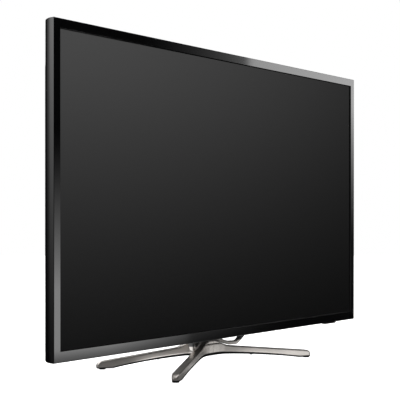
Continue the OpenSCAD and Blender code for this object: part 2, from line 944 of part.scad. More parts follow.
module panel_frame() {
    color("black") in_set() difference() {
        rect_ring(ledge_y, chassis_y, frame_x, frame_z, frame_top,
            picture_x + opening_lap, bezel_bottom - opening_lap, picture_top + opening_lap);
        slab(sheets_y, chassis_y + eps)
            rect(-frame_x + frame_wall, frame_floor_z, frame_x - frame_wall, frame_top - frame_wall);
    }
}

module optical_sheets() {
    color("white") in_set() for (i = [0:sheet_count - 1]) {
        lap = sheet_lap - sheet_step * i;
        slab(sheets_y + i * sheet_t, sheets_y + (i + 1) * sheet_t)
            rect(-picture_x - lap, bezel_bottom - lap, picture_x + lap, picture_top + lap);
    }
}

module light_guide() {
    color("lightcyan") in_set() slab(guide_y, reflector_y)
        rect(-picture_x - sheet_lap, guide_z, picture_x + sheet_lap, picture_top + sheet_lap);
}

module reflector_sheet() {
    color("white") in_set() slab(reflector_y, chassis_y)
        rect(-picture_x - sheet_lap, guide_z, picture_x + sheet_lap, picture_top + sheet_lap);
}

module led_strip() {
    color("white") in_set() translate([-picture_x, sheets_y, led_sink_z])
        cube([active_w, chassis_y - sheets_y, led_board_t]);
}

module led_chips() {
    first = -(led_count - 1) * led_pitch / 2;
    color("gold") in_set() for (i = [0:led_count - 1])
        translate([first + i * led_pitch - led_w / 2, guide_y + led_inset, led_board_z])
            cube([led_w, guide_t - 2 * led_inset, led_h]);
}

module led_heat_sink() {
    color("silver") in_set() translate([-picture_x - sheet_lap, sheets_y, frame_floor_z])
        cube([active_w + 2 * sheet_lap, chassis_y - sheets_y, led_sink_t]);
}

module rear_chassis() {
    color("lightgray") in_set() {
        slab(chassis_y, back_y) rect(-frame_x, frame_z, frame_x, frame_top);
        slab(back_y - eps / 2, back_y + rail_h) {
            rect(-rail_x, pod_top, rail_x, pod_top + rail_w);
            for (side = [-1, 1])
                translate([side * (rail_x + rail_w), 0])
                    rect(-rail_w / 2, jack_z0, rail_w / 2, pod_top - rail_w);
        }
    }
}

module source_boards() {
    color("darkgreen") in_set() for (side = [0, 1]) mirror([side, 0, 0])
        slab(back_y, source_face) rect(source_x0, source_z0, source_x1, source_z1);
}

// Driver films wrap from the panel's top edge over the frame to the source boards
module panel_films() {
    y0 = panel_y + panel_t / 2;
    z0 = picture_top + panel_border;
    top = frame_top + film_rise;
    low = source_z1 - film_lap;
    pitch = (source_x1 - source_x0) / film_count;
    color("goldenrod") in_set() for (side = [0, 1]) mirror([side, 0, 0])
        for (i = [0:film_count - 1]) {
            x = source_x0 + (i + 0.5) * pitch;
            across(x - film_w / 2, x + film_w / 2) polygon([
                [y0, z0], [y0 + film_t, z0], [y0 + film_t, top - film_t], [source_face, top - film_t],
                [source_face, low], [source_face + film_t, low], [source_face + film_t, top], [y0, top]
            ]);
        }
}

// Circuit board with drilled corners
module drilled_board(x0, z0, x1, z1, y, spots) {
    difference() {
        slab(y, y + board_t) rect(x0, z0, x1, z1);
        for (p = spots) bar_y(p[0], p[1], y - eps, y + board_t + eps, screw_r + screw_play);
    }
}

// Part soldered on a board's face, drawn as an outline in X and Z
module on_board(face, height) {
    slab(face - eps / 2, face + height) children();
}

module tcon_board() {
    color("darkgreen") in_set() {
        drilled_board(-tcon_half, tcon_z0, tcon_half, tcon_z1, tcon_y, tcon_spots);
        on_board(tcon_face, tcon_chip_t) translate([-tcon_chip / 2, tcon_z0 + tcon_chip_up])
            square(tcon_chip);
        for (x = tcon_memory_x) on_board(tcon_face, tcon_memory_t)
            translate([x, tcon_z0 + tcon_memory_up]) square([tcon_memory_w, tcon_memory_h]);
    }
}

module tcon_cables() {
    color("whitesmoke") in_set() for (x = tcon_ribbon_x)
        ribbon(x, x + tcon_ribbon_w, [
            [tcon_face, tcon_z1 - tcon_ribbon_lap], [tcon_face, tcon_z1 + ribbon_lead],
            [source_face, source_z0 - ribbon_lead], [source_face, source_z0 + tcon_ribbon_lap]
        ]);
}

module lvds_cable() {
    x = -mount_half - insert_d / 2 - lvds_clear;
    color("whitesmoke") in_set() ribbon(x - lvds_w, x, [
        [board_face, board_z1 - lvds_lap], [board_face, board_z1 + ribbon_lead],
        [tcon_face + lvds_bow, tcon_z0 - 5 * ribbon_lead],
        [tcon_face, tcon_z0 - ribbon_lead], [tcon_face, tcon_z0 + lvds_lap]
    ]);
}

module main_board() {
    color("darkgreen") in_set() {
        drilled_board(-board_outer, board_z0, -board_inner, board_z1, board_y, main_spots);
        on_board(board_face, chip_t)
            rect(chip_x - chip_half, chip_z - chip_half, chip_x + chip_half, chip_z + chip_half);
        for (z = memory_z) on_board(board_face, memory_t)
            rect(chip_x - memory_half, z, chip_x + memory_half, z + memory_h);
    }
}

module main_heat_sink() {
    base = board_face + chip_t;
    half = chip_half + sink_lap;
    pitch = (2 * half - sink_fin_t) / (sink_fin_count - 1);
    color("silver") in_set() {
        slab(base, base + sink_base) rect(chip_x - half, chip_z - half, chip_x + half, chip_z + half);
        for (i = [0:sink_fin_count - 1]) {
            x = chip_x - half + i * pitch;
            slab(base + sink_base - eps, base + sink_h) rect(x, chip_z - half, x + sink_fin_t, chip_z + half);
        }
    }
}

module power_board() {
    color("#c8a860") in_set() {
        drilled_board(board_inner, board_z0, board_outer, board_z1, board_y, power_spots);
        on_board(board_face, power_fin_h)
            rect(power_fin_x, power_fin_z0, power_fin_x + power_fin_t, power_fin_z1);
    }
}

module power_transformer() {
    x0 = transformer_x - transformer_half;
    x1 = transformer_x + transformer_half;
    color("khaki") in_set() {
        slab(board_face, board_face + transformer_h)
            rect(x0, transformer_z - transformer_core_half, x1, transformer_z + transformer_core_half);
        slab(board_face + coil_y0, board_face + coil_y1)
            rect(x0 - coil_lap, transformer_z - coil_half, x1 + coil_lap, transformer_z + coil_half);
    }
}

module power_capacitors() {
    color("midnightblue") in_set() for (i = [0:2])
        bar_y(capacitor_x, capacitor_z - i * capacitor_pitch,
            board_face, board_face + capacitor_h, capacitor_r);
}

// Two-pin mains inlet with a figure-of-eight mouth
module ac_inlet() {
    mouth = inlet_face - inlet_depth;
    color("black") in_set() difference() {
        translate([inlet_back, board_face, inlet_z - inlet_half])
            cube([inlet_face - inlet_back, inlet_h, 2 * inlet_half]);
        for (side = [-1, 1])
            bar_x(inlet_y, inlet_z + side * inlet_pin_x, mouth, inlet_face + eps, inlet_slot_r);
        translate([mouth, inlet_y - inlet_slot_r, inlet_z - inlet_pin_x])
            cube([inlet_depth + eps, 2 * inlet_slot_r, 2 * inlet_pin_x]);
    }
}

module inlet_pins() {
    color("gold") in_set() for (side = [-1, 1])
        bar_x(inlet_y, inlet_z + side * inlet_pin_x, inlet_face - inlet_depth,
            inlet_face - inlet_pin_set, inlet_pin_r);
}

module power_harness() {
    x0 = board_inner + plug_edge;
    span = harness_count * harness_pitch;
    color("ivory") in_set() for (side = [0, 1]) mirror([side, 0, 0])
        slab(board_face, board_face + plug_h)
            rect(x0, harness_z - plug_edge, x0 + plug_w, harness_z + span);
    color("firebrick") in_set() for (i = [0:harness_count - 1])
        bar_x(board_face + plug_h / 2, harness_z + i * harness_pitch, -x0 - eps, x0 + eps, harness_wire_r);
}

// Wire plug at the lower edge of the boards
module board_plug(x, w) {
    slab(board_face, board_face + plug_h)
        rect(x - w / 2, board_z0 + plug_edge, x + w / 2, board_z0 + plug_edge + plug_d);
}

module led_harness() {
    x = (board_inner + board_outer) / 2;
    y0 = back_y + led_plug_h / 2;
    y1 = board_face + plug_wire_y;
    low = frame_z + led_plug_up;
    color("ivory") in_set() {
        board_plug(x, plug_w);
        slab(back_y, back_y + led_plug_h) rect(x - led_plug_w / 2, low, x + led_plug_w / 2, low + plug_d);
    }
    color("firebrick") in_set() for (dx = [-plug_edge, plug_edge])
        wire([[x + dx, y1, board_z0 + led_wire_in], [x + dx, y1, board_z0 - led_wire_out],
            [x + dx, y0, board_z0 - led_wire_drop], [x + dx, y0, low + plug_d - plug_edge]], led_wire_r);
}

// Threaded posts and screws under the boards
module board_posts() {
    color("silver") in_set() {
        for (p = concat(main_spots, power_spots)) difference() {
            bar_y(p[0], p[1], back_y, board_y, post_r);
            bar_y(p[0], p[1], back_y, board_y + eps, screw_r + screw_play);
        }
        for (p = tcon_spots) difference() {
            bar_y(p[0], p[1], back_y, tcon_y, post_r);
            bar_y(p[0], p[1], back_y, tcon_y + eps, screw_r + screw_play);
        }
    }
}

module board_screws() {
    color("silver") in_set() {
        for (p = concat(main_spots, power_spots)) {
            bar_y(p[0], p[1], board_y - thread_grip, board_face + head_lap, screw_r);
            bar_y(p[0], p[1], board_face, board_face + screw_head_h, screw_head_r);
        }
        for (p = tcon_spots) {
            bar_y(p[0], p[1], back_y + head_lap, tcon_face + head_lap, screw_r);
            bar_y(p[0], p[1], tcon_face, tcon_face + screw_head_h, screw_head_r);
        }
    }
}

// Racetrack solid that hangs down from the speaker's floor
module driver_shape(w, d, z0, z1) {
    half = (w - d) / 2;
    y = back_y + speaker_t / 2;
    for (side = [-1, 1]) bar_z(side * half, y, z0, z1, d / 2);
    translate([-half, y - d / 2, z0]) cube([2 * half, d, z1 - z0]);
}

// Places its children at the lower edge of each speaker
module at_speakers() {
    in_set() for (side = [-1, 1]) translate([side * speaker_x, 0, speaker_z]) children();
}

module speaker_boxes() {
    color("#202020") at_speakers() difference() {
        slab(back_y, back_y + speaker_t) rect(-speaker_w / 2, 0, speaker_w / 2, speaker_h);
        driver_shape(driver_w, driver_d, -eps, driver_depth);
    }
}

module speaker_drivers() {
    color("gray") at_speakers() difference() {
        driver_shape(driver_w - 2 * slip_play, driver_d - 2 * slip_play, driver_set, driver_depth);
        driver_shape(driver_w - 2 * driver_rim, driver_d - 2 * driver_rim, 0, driver_cone);
    }
}

module speaker_wires() {
    y0 = speaker_wire_y;
    y1 = board_face + plug_wire_y;
    low = speaker_wire_z;
    plug = board_z0 + speaker_wire_in;
    high = board_z0 - speaker_wire_high;
    left = speaker_wire_left;
    near = speaker_wire_near;
    end = speaker_x - speaker_w / 2 - wire_r - speaker_wire_gap;
    turn = end - speaker_wire_turn;
    color("ivory") in_set() board_plug((left + near) / 2, near - left + plug_d);
    color("dimgray") in_set() {
        wire([[left, y1, plug], [left, y1, board_z0 - speaker_wire_out],
            [left, y0, board_z0 - speaker_wire_drop], [left, y0, low], [-end, y0, low]], wire_r);
        wire([[near, y1, plug], [near, y1, high], [near, y0, high],
            [turn, y0, high], [turn, y0, low], [end, y0, low]], wire_r);
    }
}

module wifi_module() {
    color("darkgreen") in_set() {
        slab(back_y, back_y + wifi_t) rect(wifi_x, wifi_z, wifi_x + wifi_w, wifi_z + wifi_h);
        slab(back_y + wifi_t / 2, back_y + wifi_can_y) rect(wifi_x + wifi_edge, wifi_z + wifi_edge,
            wifi_x + wifi_edge + wifi_can, wifi_z + wifi_h - wifi_edge);
    }
}

// Rear cover's outline at one depth, grown inward by a thickness
module cover_slab(y, half_w, z0, z1, inset) {
    r = cover_r - inset;
    slab(y, y + skin) polygon(round_rect(-half_w + inset, z0 + inset, half_w - inset, z1 - inset, r));
}

// Dished upper back and deep lower back, inset by a thickness
module cover_mass(inset) {
    rim_y = bezel_depth - (inset > 0 ? eps : 0);
    hull() {
        cover_slab(rim_y, set_w / 2 - bezel_curl, bezel_curl, set_h - bezel_curl, inset);
        cover_slab(step_depth - inset - skin, step_x, cover_foot, step_top, inset);
    }
    hull() {
        cover_slab(step_depth - inset - 2 * eps, pod_w / 2, cover_foot, pod_top, inset);
        cover_slab(set_depth - inset - skin, pod_w / 2 - pod_taper, cover_foot, pod_top - pod_taper, inset);
    }
}

// Recess in the side of the lower back for plugs, grown by a thickness
module plug_bay(side, z0, z1, grow) {
    mirror([side < 0 ? 1 : 0, 0, 0])
        translate([bay_x - grow, bay_floor_y - grow, z0 - grow])
            cube([bay_in + bay_out + 2 * grow, set_depth, z1 - z0 + 2 * grow]);
}

module plug_bays(grow) {
    plug_bay(-1, jack_z0, jack_z1, grow);
    plug_bay(1, inlet_z - inlet_bay, inlet_z + inlet_bay, grow);
}

module cover_openings() {
    // Upper vents and the slots under the speakers
    for (i = [0:vent_count - 1])
        translate([(i - (vent_count - 1) / 2) * vent_pitch - vent_w / 2, inside_y - eps, vent_z])
            cube([vent_w, cover_wall + 3 * eps, vent_h]);
    for (side = [-1, 1])
        for (i = [0:floor(driver_w / sound_pitch)])
            translate([side * speaker_x - driver_w / 2 + i * sound_pitch - sound_w / 2,
                    back_y + speaker_t / 2 - eps, cover_foot - 2 * eps])
                cube([sound_w, sound_d, cover_wall + 4 * eps]);
    // Joystick, neck and wall mount
    bar_y(jog_x, jog_z, inside_y - eps, step_depth + eps, jog_hole_r);
    translate([-saddle_x - neck_room, axis_setback - saddle_y - eps, cover_foot - eps])
        cube([2 * (saddle_x + neck_room), 2 * (saddle_y + eps), cover_wall + 2 * eps]);
    for (p = neck_screw_spots)
        bar_y(p[0], p[1], axis_setback, set_depth + eps, neck_head_r + 2 * slip_play);
    for (x = [-1, 1]) for (z = [-1, 1])
        bar_y(x * mount_half, mount_z + z * mount_half, step_depth, set_depth + eps,
            insert_d / 2 + slip_play);
    // Screw wells
    for (p = cover_screw_spots) {
        bar_y(p[0], p[1], 0, step_depth + eps, cover_screw_r + screw_play);
        bar_y(p[0], p[1], cover_head_y, step_depth + eps, cover_head_r + screw_play);
    }
}

module rear_cover() {
    color("#15161a") in_set() difference() {
        union() {
            difference() {
                cover_mass(0);
                cover_mass(cover_wall);
                plug_bays(cover_wall + slip_play);
            }
            for (p = cover_screw_spots) bar_y(p[0], p[1], back_y, step_depth - boss_set, boss_r);
        }
        cover_openings();
    }
}

// Trays around the plug bays, with windows for the jacks and the mains inlet
module bay_trays() {
    color("#1b1c20") in_set() difference() {
        intersection() {
            union() {
                cover_mass(0);
                slab(bay_floor_y - cover_wall, step_depth - eps) rect(-step_x, cover_foot, step_x, step_top);
            }
            plug_bays(cover_wall);
        }
        plug_bays(0);
        translate([-bay_x - eps, board_y, jack_z0 + jack_frame])
            cube([cover_wall + 2 * eps, jack_window_h, jack_z1 - jack_z0 - 2 * jack_frame]);
        translate([bay_x - cover_wall - eps, board_face - slip_play, inlet_z - inlet_half - slip_play])
            cube([cover_wall + 2 * eps, inlet_h + 2 * slip_play, 2 * (inlet_half + slip_play)]);
    }
}

module cover_screws() {
    color("silver") in_set() for (p = cover_screw_spots) {
        bar_y(p[0], p[1], back_y, cover_head_y + head_lap, cover_screw_r);
        bar_y(p[0], p[1], cover_head_y, cover_head_y + cover_head_h, cover_head_r);
    }
}

// Row of sockets along the outer edge of the main board, from the top down
function jack_z(i) = jack_z1 - jack_margin - (i + 0.5) * jack_step;

// Plain socket block on the board, open towards the plug
module socket_block(z, size, wall, depth) {
    translate([0, 0, z]) difference() {
        translate([socket_face, board_face, -size[0] / 2])
            cube([socket_back - socket_face, size[1], size[0]]);
        translate([socket_face - eps, board_face + wall, -size[0] / 2 + wall])
            cube([depth + eps, size[1] - 2 * wall, size[0] - 2 * wall]);
    }
}

// Contact tongue inside a socket
module socket_tongue(z, size, t, depth) {
    translate([socket_face + tongue_set, board_face + (size[1] - t) / 2, z - size[0] / 2 + tongue_side])
        cube([depth, t, size[0] - 2 * tongue_side]);
}

module hdmi_sockets() {
    color("silver") in_set() for (i = [0, 1]) {
        socket_block(jack_z(i), hdmi_size, socket_wall, socket_depth);
        socket_tongue(jack_z(i), hdmi_size, hdmi_tongue, socket_depth);
    }
}

module usb_sockets() {
    color("silver") in_set() {
        socket_block(jack_z(2), usb_size, socket_wall, socket_depth);
        socket_tongue(jack_z(2), usb_size, usb_tongue, socket_depth);
    }
}

module lan_socket() {
    color("silver") in_set() socket_block(jack_z(3), lan_size, lan_wall, lan_depth);
}

module av_jacks() {
    color("gold") in_set() for (i = [4, 5]) difference() {
        union() {
            translate([-board_outer, board_face, jack_z(i) - av_body / 2])
                cube([socket_run, av_body, av_body]);
            bar_x(jack_axis_y, jack_z(i), socket_face - av_proud, -board_outer + eps, av_r);
        }
        bar_x(jack_axis_y, jack_z(i), socket_face - av_proud - eps, socket_face, av_bore_r);
    }
}

module tuner_socket() {
    color("silver") in_set() difference() {
        union() {
            slab(board_face, board_face + av_body)
                rect(-board_outer, jack_z(6) - tuner_half, -board_outer + tuner_run, jack_z(6) + tuner_half);
            bar_x(jack_axis_y, jack_z(6), socket_face - tuner_proud, -board_outer + eps, tuner_r);
        }
        bar_x(jack_axis_y, jack_z(6), socket_face - tuner_proud - eps, socket_face, tuner_bore_r);
    }
}

module jack_plate() {
    color("darkslategray") in_set() difference() {
        translate([-bay_x - plate_t, bay_floor_y, jack_z0])
            cube([plate_t, plate_h, jack_z1 - jack_z0]);
        for (i = [0:3]) {
            size = [hdmi_size, hdmi_size, usb_size, lan_size][i];
            translate([-bay_x - 2 * plate_t, board_face - slip_play, jack_z(i) - size[0] / 2 - slip_play])
                cube([3 * plate_t, size[1] + 2 * slip_play, size[0] + 2 * slip_play]);
        }
        for (i = [4:6])
            bar_x(jack_axis_y, jack_z(i), -bay_x - 2 * plate_t, -bay_x + plate_t,
                tuner_r + slip_play);
    }
}

module mount_inserts() {
    color("silver") in_set() for (x = [-1, 1]) for (z = [-1, 1]) difference() {
        bar_y(x * mount_half, mount_z + z * mount_half, back_y, set_depth, insert_d / 2);
        bar_y(x * mount_half, mount_z + z * mount_half, set_depth - insert_depth, set_depth + eps,
            insert_bore_d / 2);
    }
}

// Places its children at the joystick's gimbal
module at_jog() {
    in_set() translate([jog_x, jog_y, jog_z]) children();
}

module jog_board() {
    y0 = jog_board_y - jog_y;
    color("darkgreen") at_jog() {
        slab(y0, y0 + board_t) rect(-jog_board_half, -jog_board_half, jog_board_half, jog_board_half);
        for (x = [-1, 1])
            bar_y(x * (jog_board_half - jog_switch_half), 0, back_y - jog_y, y0 + eps, jog_post_r);
        slab(y0 + eps, y0 + board_t + jog_switch_h)
            rect(-jog_switch_half, -jog_switch_half, jog_switch_half, jog_switch_half);
    }
}

module jog_housing() {
    y0 = jog_board_y + board_t - jog_y;
    y1 = inside_y - jog_y - jog_play;
    color("#303030") at_jog() difference() {
        slab(y0, y1) rect(-jog_case_half, -jog_case_half, jog_case_half, jog_case_half);
        bar_y(0, 0, y0 - eps, y1 + eps, jog_case_r);
        bar_z(0, 0, -jog_case_half - eps, jog_case_half + eps, jog_pin_r + running_play);
    }
}

module jog_ring() {
    color("ivory") at_jog() difference() {
        union() {
            bar_y(0, 0, -jog_ring_t / 2, jog_ring_t / 2, jog_ring_out);
            bar_z(0, 0, -jog_case_half + jog_play, jog_case_half - jog_play, jog_pin_r);
        }
        bar_y(0, 0, -jog_ring_t, jog_ring_t, jog_ring_in);
        bar_x(0, 0, -jog_ring_out - eps, jog_ring_out + eps, jog_stem_pin_r + running_play);
    }
}

module jog_stem() {
    color("dimgray") at_jog() {
        bar_y(0, 0, -jog_hub_back, jog_hub_front, jog_hub_r);
        bar_x(0, 0, -jog_ring_out + jog_pin_set, jog_ring_out - jog_pin_set, jog_stem_pin_r);
        bar_y(0, 0, 0, jog_knob_y - jog_y + jog_knob_h - jog_stem_set - jog_press, jog_stem_r);
    }
}

module jog_cap() {
    y1 = jog_knob_y - jog_y;
    color("black") at_jog() difference() {
        union() {
            bar_y(0, 0, y1 - jog_sleeve_len, y1 + eps, jog_sleeve_r);
            translate([0, y1 + jog_knob_h, 0]) rotate([90, 0, 0]) rotate_extrude() polygon([
                [0, 0], [jog_cap_d / 2 - jog_chamfer, 0], [jog_cap_d / 2, jog_chamfer],
                [jog_cap_d / 2, jog_knob_h], [0, jog_knob_h]
            ]);
        }
        bar_y(0, 0, y1 - jog_sleeve_len - eps, y1 + jog_knob_h - jog_top_t, jog_stem_r + running_play);
    }
}

stand_base();
base_liner();
foot_pads();
liner_screws();
swivel_shaft();
bearing_washer();
friction_washer();
spring_washer();
swivel_nut();
swivel_neck();
neck_screws();
stand_bracket();
front_bezel();
receiver_window();
receiver_board();
panel_gasket();
lcd_panel();
panel_frame();
optical_sheets();
light_guide();
reflector_sheet();
led_strip();
led_chips();
led_heat_sink();
rear_chassis();
source_boards();
panel_films();
tcon_board();
tcon_cables();
lvds_cable();
main_board();
main_heat_sink();
power_board();
power_transformer();
power_capacitors();
ac_inlet();
inlet_pins();
power_harness();
led_harness();
board_posts();
board_screws();
speaker_boxes();
speaker_drivers();
speaker_wires();
wifi_module();
rear_cover();
bay_trays();
cover_screws();
jack_plate();
hdmi_sockets();
usb_sockets();
lan_socket();
av_jacks();
tuner_socket();
mount_inserts();
jog_board();
jog_housing();
jog_ring();
jog_stem();
jog_cap();
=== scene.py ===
"""Finishes, rounded pieces and a studio for a flat screen television on a four-legged stand."""

import math
from collections import namedtuple
from functools import partial, reduce

import bmesh
import bpy
from bpy.props import FloatProperty, FloatVectorProperty, IntProperty, PointerProperty
from mathutils import Matrix, Vector


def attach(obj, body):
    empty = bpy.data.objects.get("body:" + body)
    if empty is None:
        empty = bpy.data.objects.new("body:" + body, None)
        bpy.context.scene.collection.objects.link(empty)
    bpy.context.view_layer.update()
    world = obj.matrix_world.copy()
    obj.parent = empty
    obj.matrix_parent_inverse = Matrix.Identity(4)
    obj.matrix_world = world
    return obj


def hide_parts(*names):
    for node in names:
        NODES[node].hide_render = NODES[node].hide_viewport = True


bl_info = {
    "name": "Flat Screen Television",
    "version": (1, 0, 0),
    "blender": (4, 5, 0),
    "location": "3D View > Sidebar > Television",
    "description": "Dresses the packed television with finishes, rounded pieces and a studio",
    "category": "Object",
}

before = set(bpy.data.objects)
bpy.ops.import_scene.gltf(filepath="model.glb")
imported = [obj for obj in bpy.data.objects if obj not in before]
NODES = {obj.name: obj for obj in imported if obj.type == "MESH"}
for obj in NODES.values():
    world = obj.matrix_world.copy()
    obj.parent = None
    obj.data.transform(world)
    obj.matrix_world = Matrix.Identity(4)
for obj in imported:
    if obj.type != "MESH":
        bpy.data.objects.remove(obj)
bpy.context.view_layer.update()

# CAD meshes: shorter edges are closed, and faces that meet at a smaller angle are joined
SHORTEST_EDGE = 2e-6
FLAT_ANGLE = math.radians(0.4)

# Shading of the large covers: weight of a face's area, of 100
AREA_WEIGHT = 100

# Plain finishes: detail of the mottle and of the grain, and the share by which the gloss varies
MOTTLE_DETAIL = 4.0
GRAIN_DETAIL = 2.0
GLOSS_VARIES = 0.12

# Circuit boards: tracks and pads per metre, the gap between tracks, the rim of a pad, how much
# lighter the tracks are, and the roughness of the mask and of the pads
TRACK_SCALE = 160.0
PAD_SCALE = 220.0
TRACK_GAP = 0.05
PAD_RIM = (0.10, 0.14)
TRACK_TONE = 1.7
MASK_ROUGH, PAD_ROUGH = 0.45, 0.25
TRACK_BUMP, TRACK_DEPTH = 0.2, 0.0002

# Castings: points that face further down than UNDERSIDE or lie within some cells of the top, and
# some rings of points about them, keep most of their shape when the rest is smoothed
UNDERSIDE = -0.3
TOP_CELLS = 2
CRISP_RINGS = 2
CRISP_WEIGHT = 0.12
TIP_LENGTH = 0.02
ALL_SMOOTH = 180

# Satin metal of the castings, and the roughness of the neck's
SATIN = {"tone": 0.06, "coarse": 30, "fine": 1800, "bump": 0.06, "depth": 0.0001}
SATIN_ROUGH, SATIN_METAL = 0.34, 0.95
NECK_ROUGH = (0.30, 0.38)

# Painted shade on the neck, black where the set's underside shades it: the height over which it
# starts, and how far it comes down between two distances from the axis
SHADE_COLOUR = (0.004, 0.004, 0.004)
SHADE_EDGE = (0.0475, 0.0485)
SHADE_DROP = 0.0055
SHADE_DROP_REACH = (0.045, 0.066)

# Sky, as matt surfaces, mirrors and the camera see it
SKY_SOFT, SKY_MIRRORED, SKY_SEEN = 0.9, 0.012, 1.0

# Floor: corners of its rims, mottle, and what the camera sees
FLOOR_CORNERS = 96
FLOOR_MOTTLE, FLOOR_TONE = 6, 0.97
FLOOR_ROUGH, FLOOR_EMISSION = 0.9, 0.95

# Glow of the floor, as mirrors see it: ramps of a measure, its start and end, and the levels there.
# "ahead" grows forward from the line of the front right leg, "reach" is the distance from the axis.
AHEAD = (-0.505, -1, 0)
FRONT_GLOW = (
    ("X", 0.03, 0.08, 0.2, 1.8),
    ("ahead", 0.03, 0.16, 1.0, 0.55),
    ("ahead", 0.012, 0.05, 0.1, 1.0),
    ("X", 0.08, 0.16, 1.0, 1.25),
)
HUB_GLOW = (
    ("reach", 0.10, 0.14, 1.8, 0.2),
    ("Y", -0.06, -0.01, 0.2, 1.0),
    ("X", -0.03, 0.02, 1.0, 0.1),
)

# Cards that only mirrors see: two corners, whether only the linked objects see the card or all but
# them, and the ramps of its glow. The brightness of each is a value of the studio.
Card = namedtuple("Card", "low high state linked ramps")
CARDS = {
    "low_card": Card(
        (0.1, -1.27, -0.5), (2.0, -1.27, 0.65),
        "EXCLUDE", ("lcd_panel", "stand_casting", "neck_casting"),
        (("Z", 0.58, 0.06, 0, 1), ("Z", -0.20, -0.135, 0.3, 1), ("X", 1.353, 0.95, 0.54, 1),
         ("X", 1.36, 1.345, 0.64, 1), ("X", 1.95, 1.36, 0.25, 1), ("X", 0.1, 0.6, 0, 1))),
    "high_card": Card(
        (0.9, -1.29, 0.0), (2.9, -1.29, 1.3),
        "EXCLUDE", ("lcd_panel",),
        (("Z", 0.18, 0.8, 0.12, 1), ("X", 1.05, 1.74, 0, 1), ("X", 1.745, 1.77, 0.5, 1))),
    "side_card": Card(
        (-1.46, 0.3, -0.15), (-1.46, 3.2, 1.4),
        "EXCLUDE", ("lcd_panel",),
        (("Z", -0.1, 0.85, 0.22, 1), ("Y", 1.6, 0.75, 0.42, 1), ("Y", 3.2, 1.6, 0.3, 1))),
    "screen_card": Card(
        (-0.6, -1.28, -0.6), (3.8, -1.28, 1.6),
        "INCLUDE", ("lcd_panel",),
        (("Z", -0.5, 0.876, 0, 1), ("X", 4.07, 0.73, 0, 1))),
    "stand_card": Card(
        (-1.9, -2.6, 0.6), (-1.9, 0.4, 3.4),
        "INCLUDE", ("stand_casting",),
        (("Z", 0.6, 1.4, 0, 1),)),
    "rear_card": Card(
        (0.9, 1.5, -0.1), (2.9, 1.5, 0.9),
        "EXCLUDE", ("lcd_panel",),
        (("Z", 0.9, 0.4, 0, 1),)),
}
EYE_GAMMA = 2.2


# Shader helpers


def new_finish(name):
    """Material with an empty node tree, its shader and Object coordinates."""
    finish = bpy.data.materials.new(name)
    finish.use_nodes = True
    tree = finish.node_tree
    tree.nodes.clear()
    out = tree.nodes.new("ShaderNodeOutputMaterial")
    shader = tree.nodes.new("ShaderNodeBsdfPrincipled")
    place = tree.nodes.new("ShaderNodeTexCoord")
    tree.links.new(shader.outputs[0], out.inputs[0])
    return finish, tree, shader, place.outputs["Object"]


def node(tree, kind, inputs=None, **settings):
    """Adds a node; inputs holds values or sockets by input name or number."""
    made = tree.nodes.new(kind)
    for key, value in settings.items():
        setattr(made, key, value)
    for key, value in (inputs or {}).items():
        if isinstance(value, bpy.types.NodeSocket):
            tree.links.new(value, made.inputs[key])
        else:
            made.inputs[key].default_value = value
    return made


def noise(tree, place, scale, detail=3.0, stretch=None):
    """Noise in Object coordinates, stretched along an axis if asked."""
    if stretch:
        place = node(tree, "ShaderNodeMapping", {0: place, 3: stretch}).outputs[0]
    inputs = {"Vector": place, "Scale": scale, "Detail": detail}
    return node(tree, "ShaderNodeTexNoise", inputs).outputs[0]


def spread(tree, value, low, high, start=0.35, end=0.65):
    """Maps a value from start to end, which suit a noise, to a range."""
    inputs = {0: value, 1: start, 2: end, 3: low, 4: high}
    return node(tree, "ShaderNodeMapRange", inputs).outputs[0]


def maths(tree, operation, first, second):
    """Result of an operation on two numbers."""
    return node(tree, "ShaderNodeMath", {0: first, 1: second}, operation=operation).outputs[0]


def length(tree, place):
    """Length of a vector."""
    return node(tree, "ShaderNodeVectorMath", {0: place}, operation="LENGTH").outputs["Value"]


def tint(tree, value, first, second):
    """Blends two colours by a value; the first may be a socket."""
    if not isinstance(first, bpy.types.NodeSocket):
        first = (*first, 1)
    inputs = {0: value, 6: first, 7: (*second, 1)}
    return node(tree, "ShaderNodeMix", inputs, data_type="RGBA").outputs[2]


def relief(tree, shader, height, strength, depth):
    """Bump from a height."""
    inputs = {"Height": height, "Strength": strength, "Distance": depth}
    bump = node(tree, "ShaderNodeBump", inputs)
    tree.links.new(bump.outputs[0], shader.inputs["Normal"])


def shade(colour, factor):
    """Lighter or darker version of a colour."""
    return tuple(min(1.0, c * factor) for c in colour)


def mottled(tree, place, colour, tone, coarse, stretch=None):
    """Colour that varies a little, both lighter and darker."""
    broad = spread(tree, noise(tree, place, coarse, MOTTLE_DETAIL, stretch), 0, 1)
    return tint(tree, broad, shade(colour, 1 - tone), shade(colour, 1 + tone))


def plain_finish(name, colour, rough, metal=0.0, tone=0.12, coarse=40, fine=900, bump=0.1,
                 depth=0.0002, stretch=None, specular=0.5):
    """Moulded, cast or rolled surface: mottled colour, uneven gloss and a fine grain."""
    finish, tree, shader, place = new_finish(name)
    grain = noise(tree, place, fine, GRAIN_DETAIL, stretch)
    gloss = spread(tree, grain, rough * (1 - GLOSS_VARIES), min(1, rough * (1 + GLOSS_VARIES)))
    tree.links.new(mottled(tree, place, colour, tone, coarse, stretch), shader.inputs["Base Color"])
    tree.links.new(gloss, shader.inputs["Roughness"])
    shader.inputs["Metallic"].default_value = metal
    shader.inputs["Specular IOR Level"].default_value = specular
    relief(tree, shader, grain, bump, depth)
    return finish


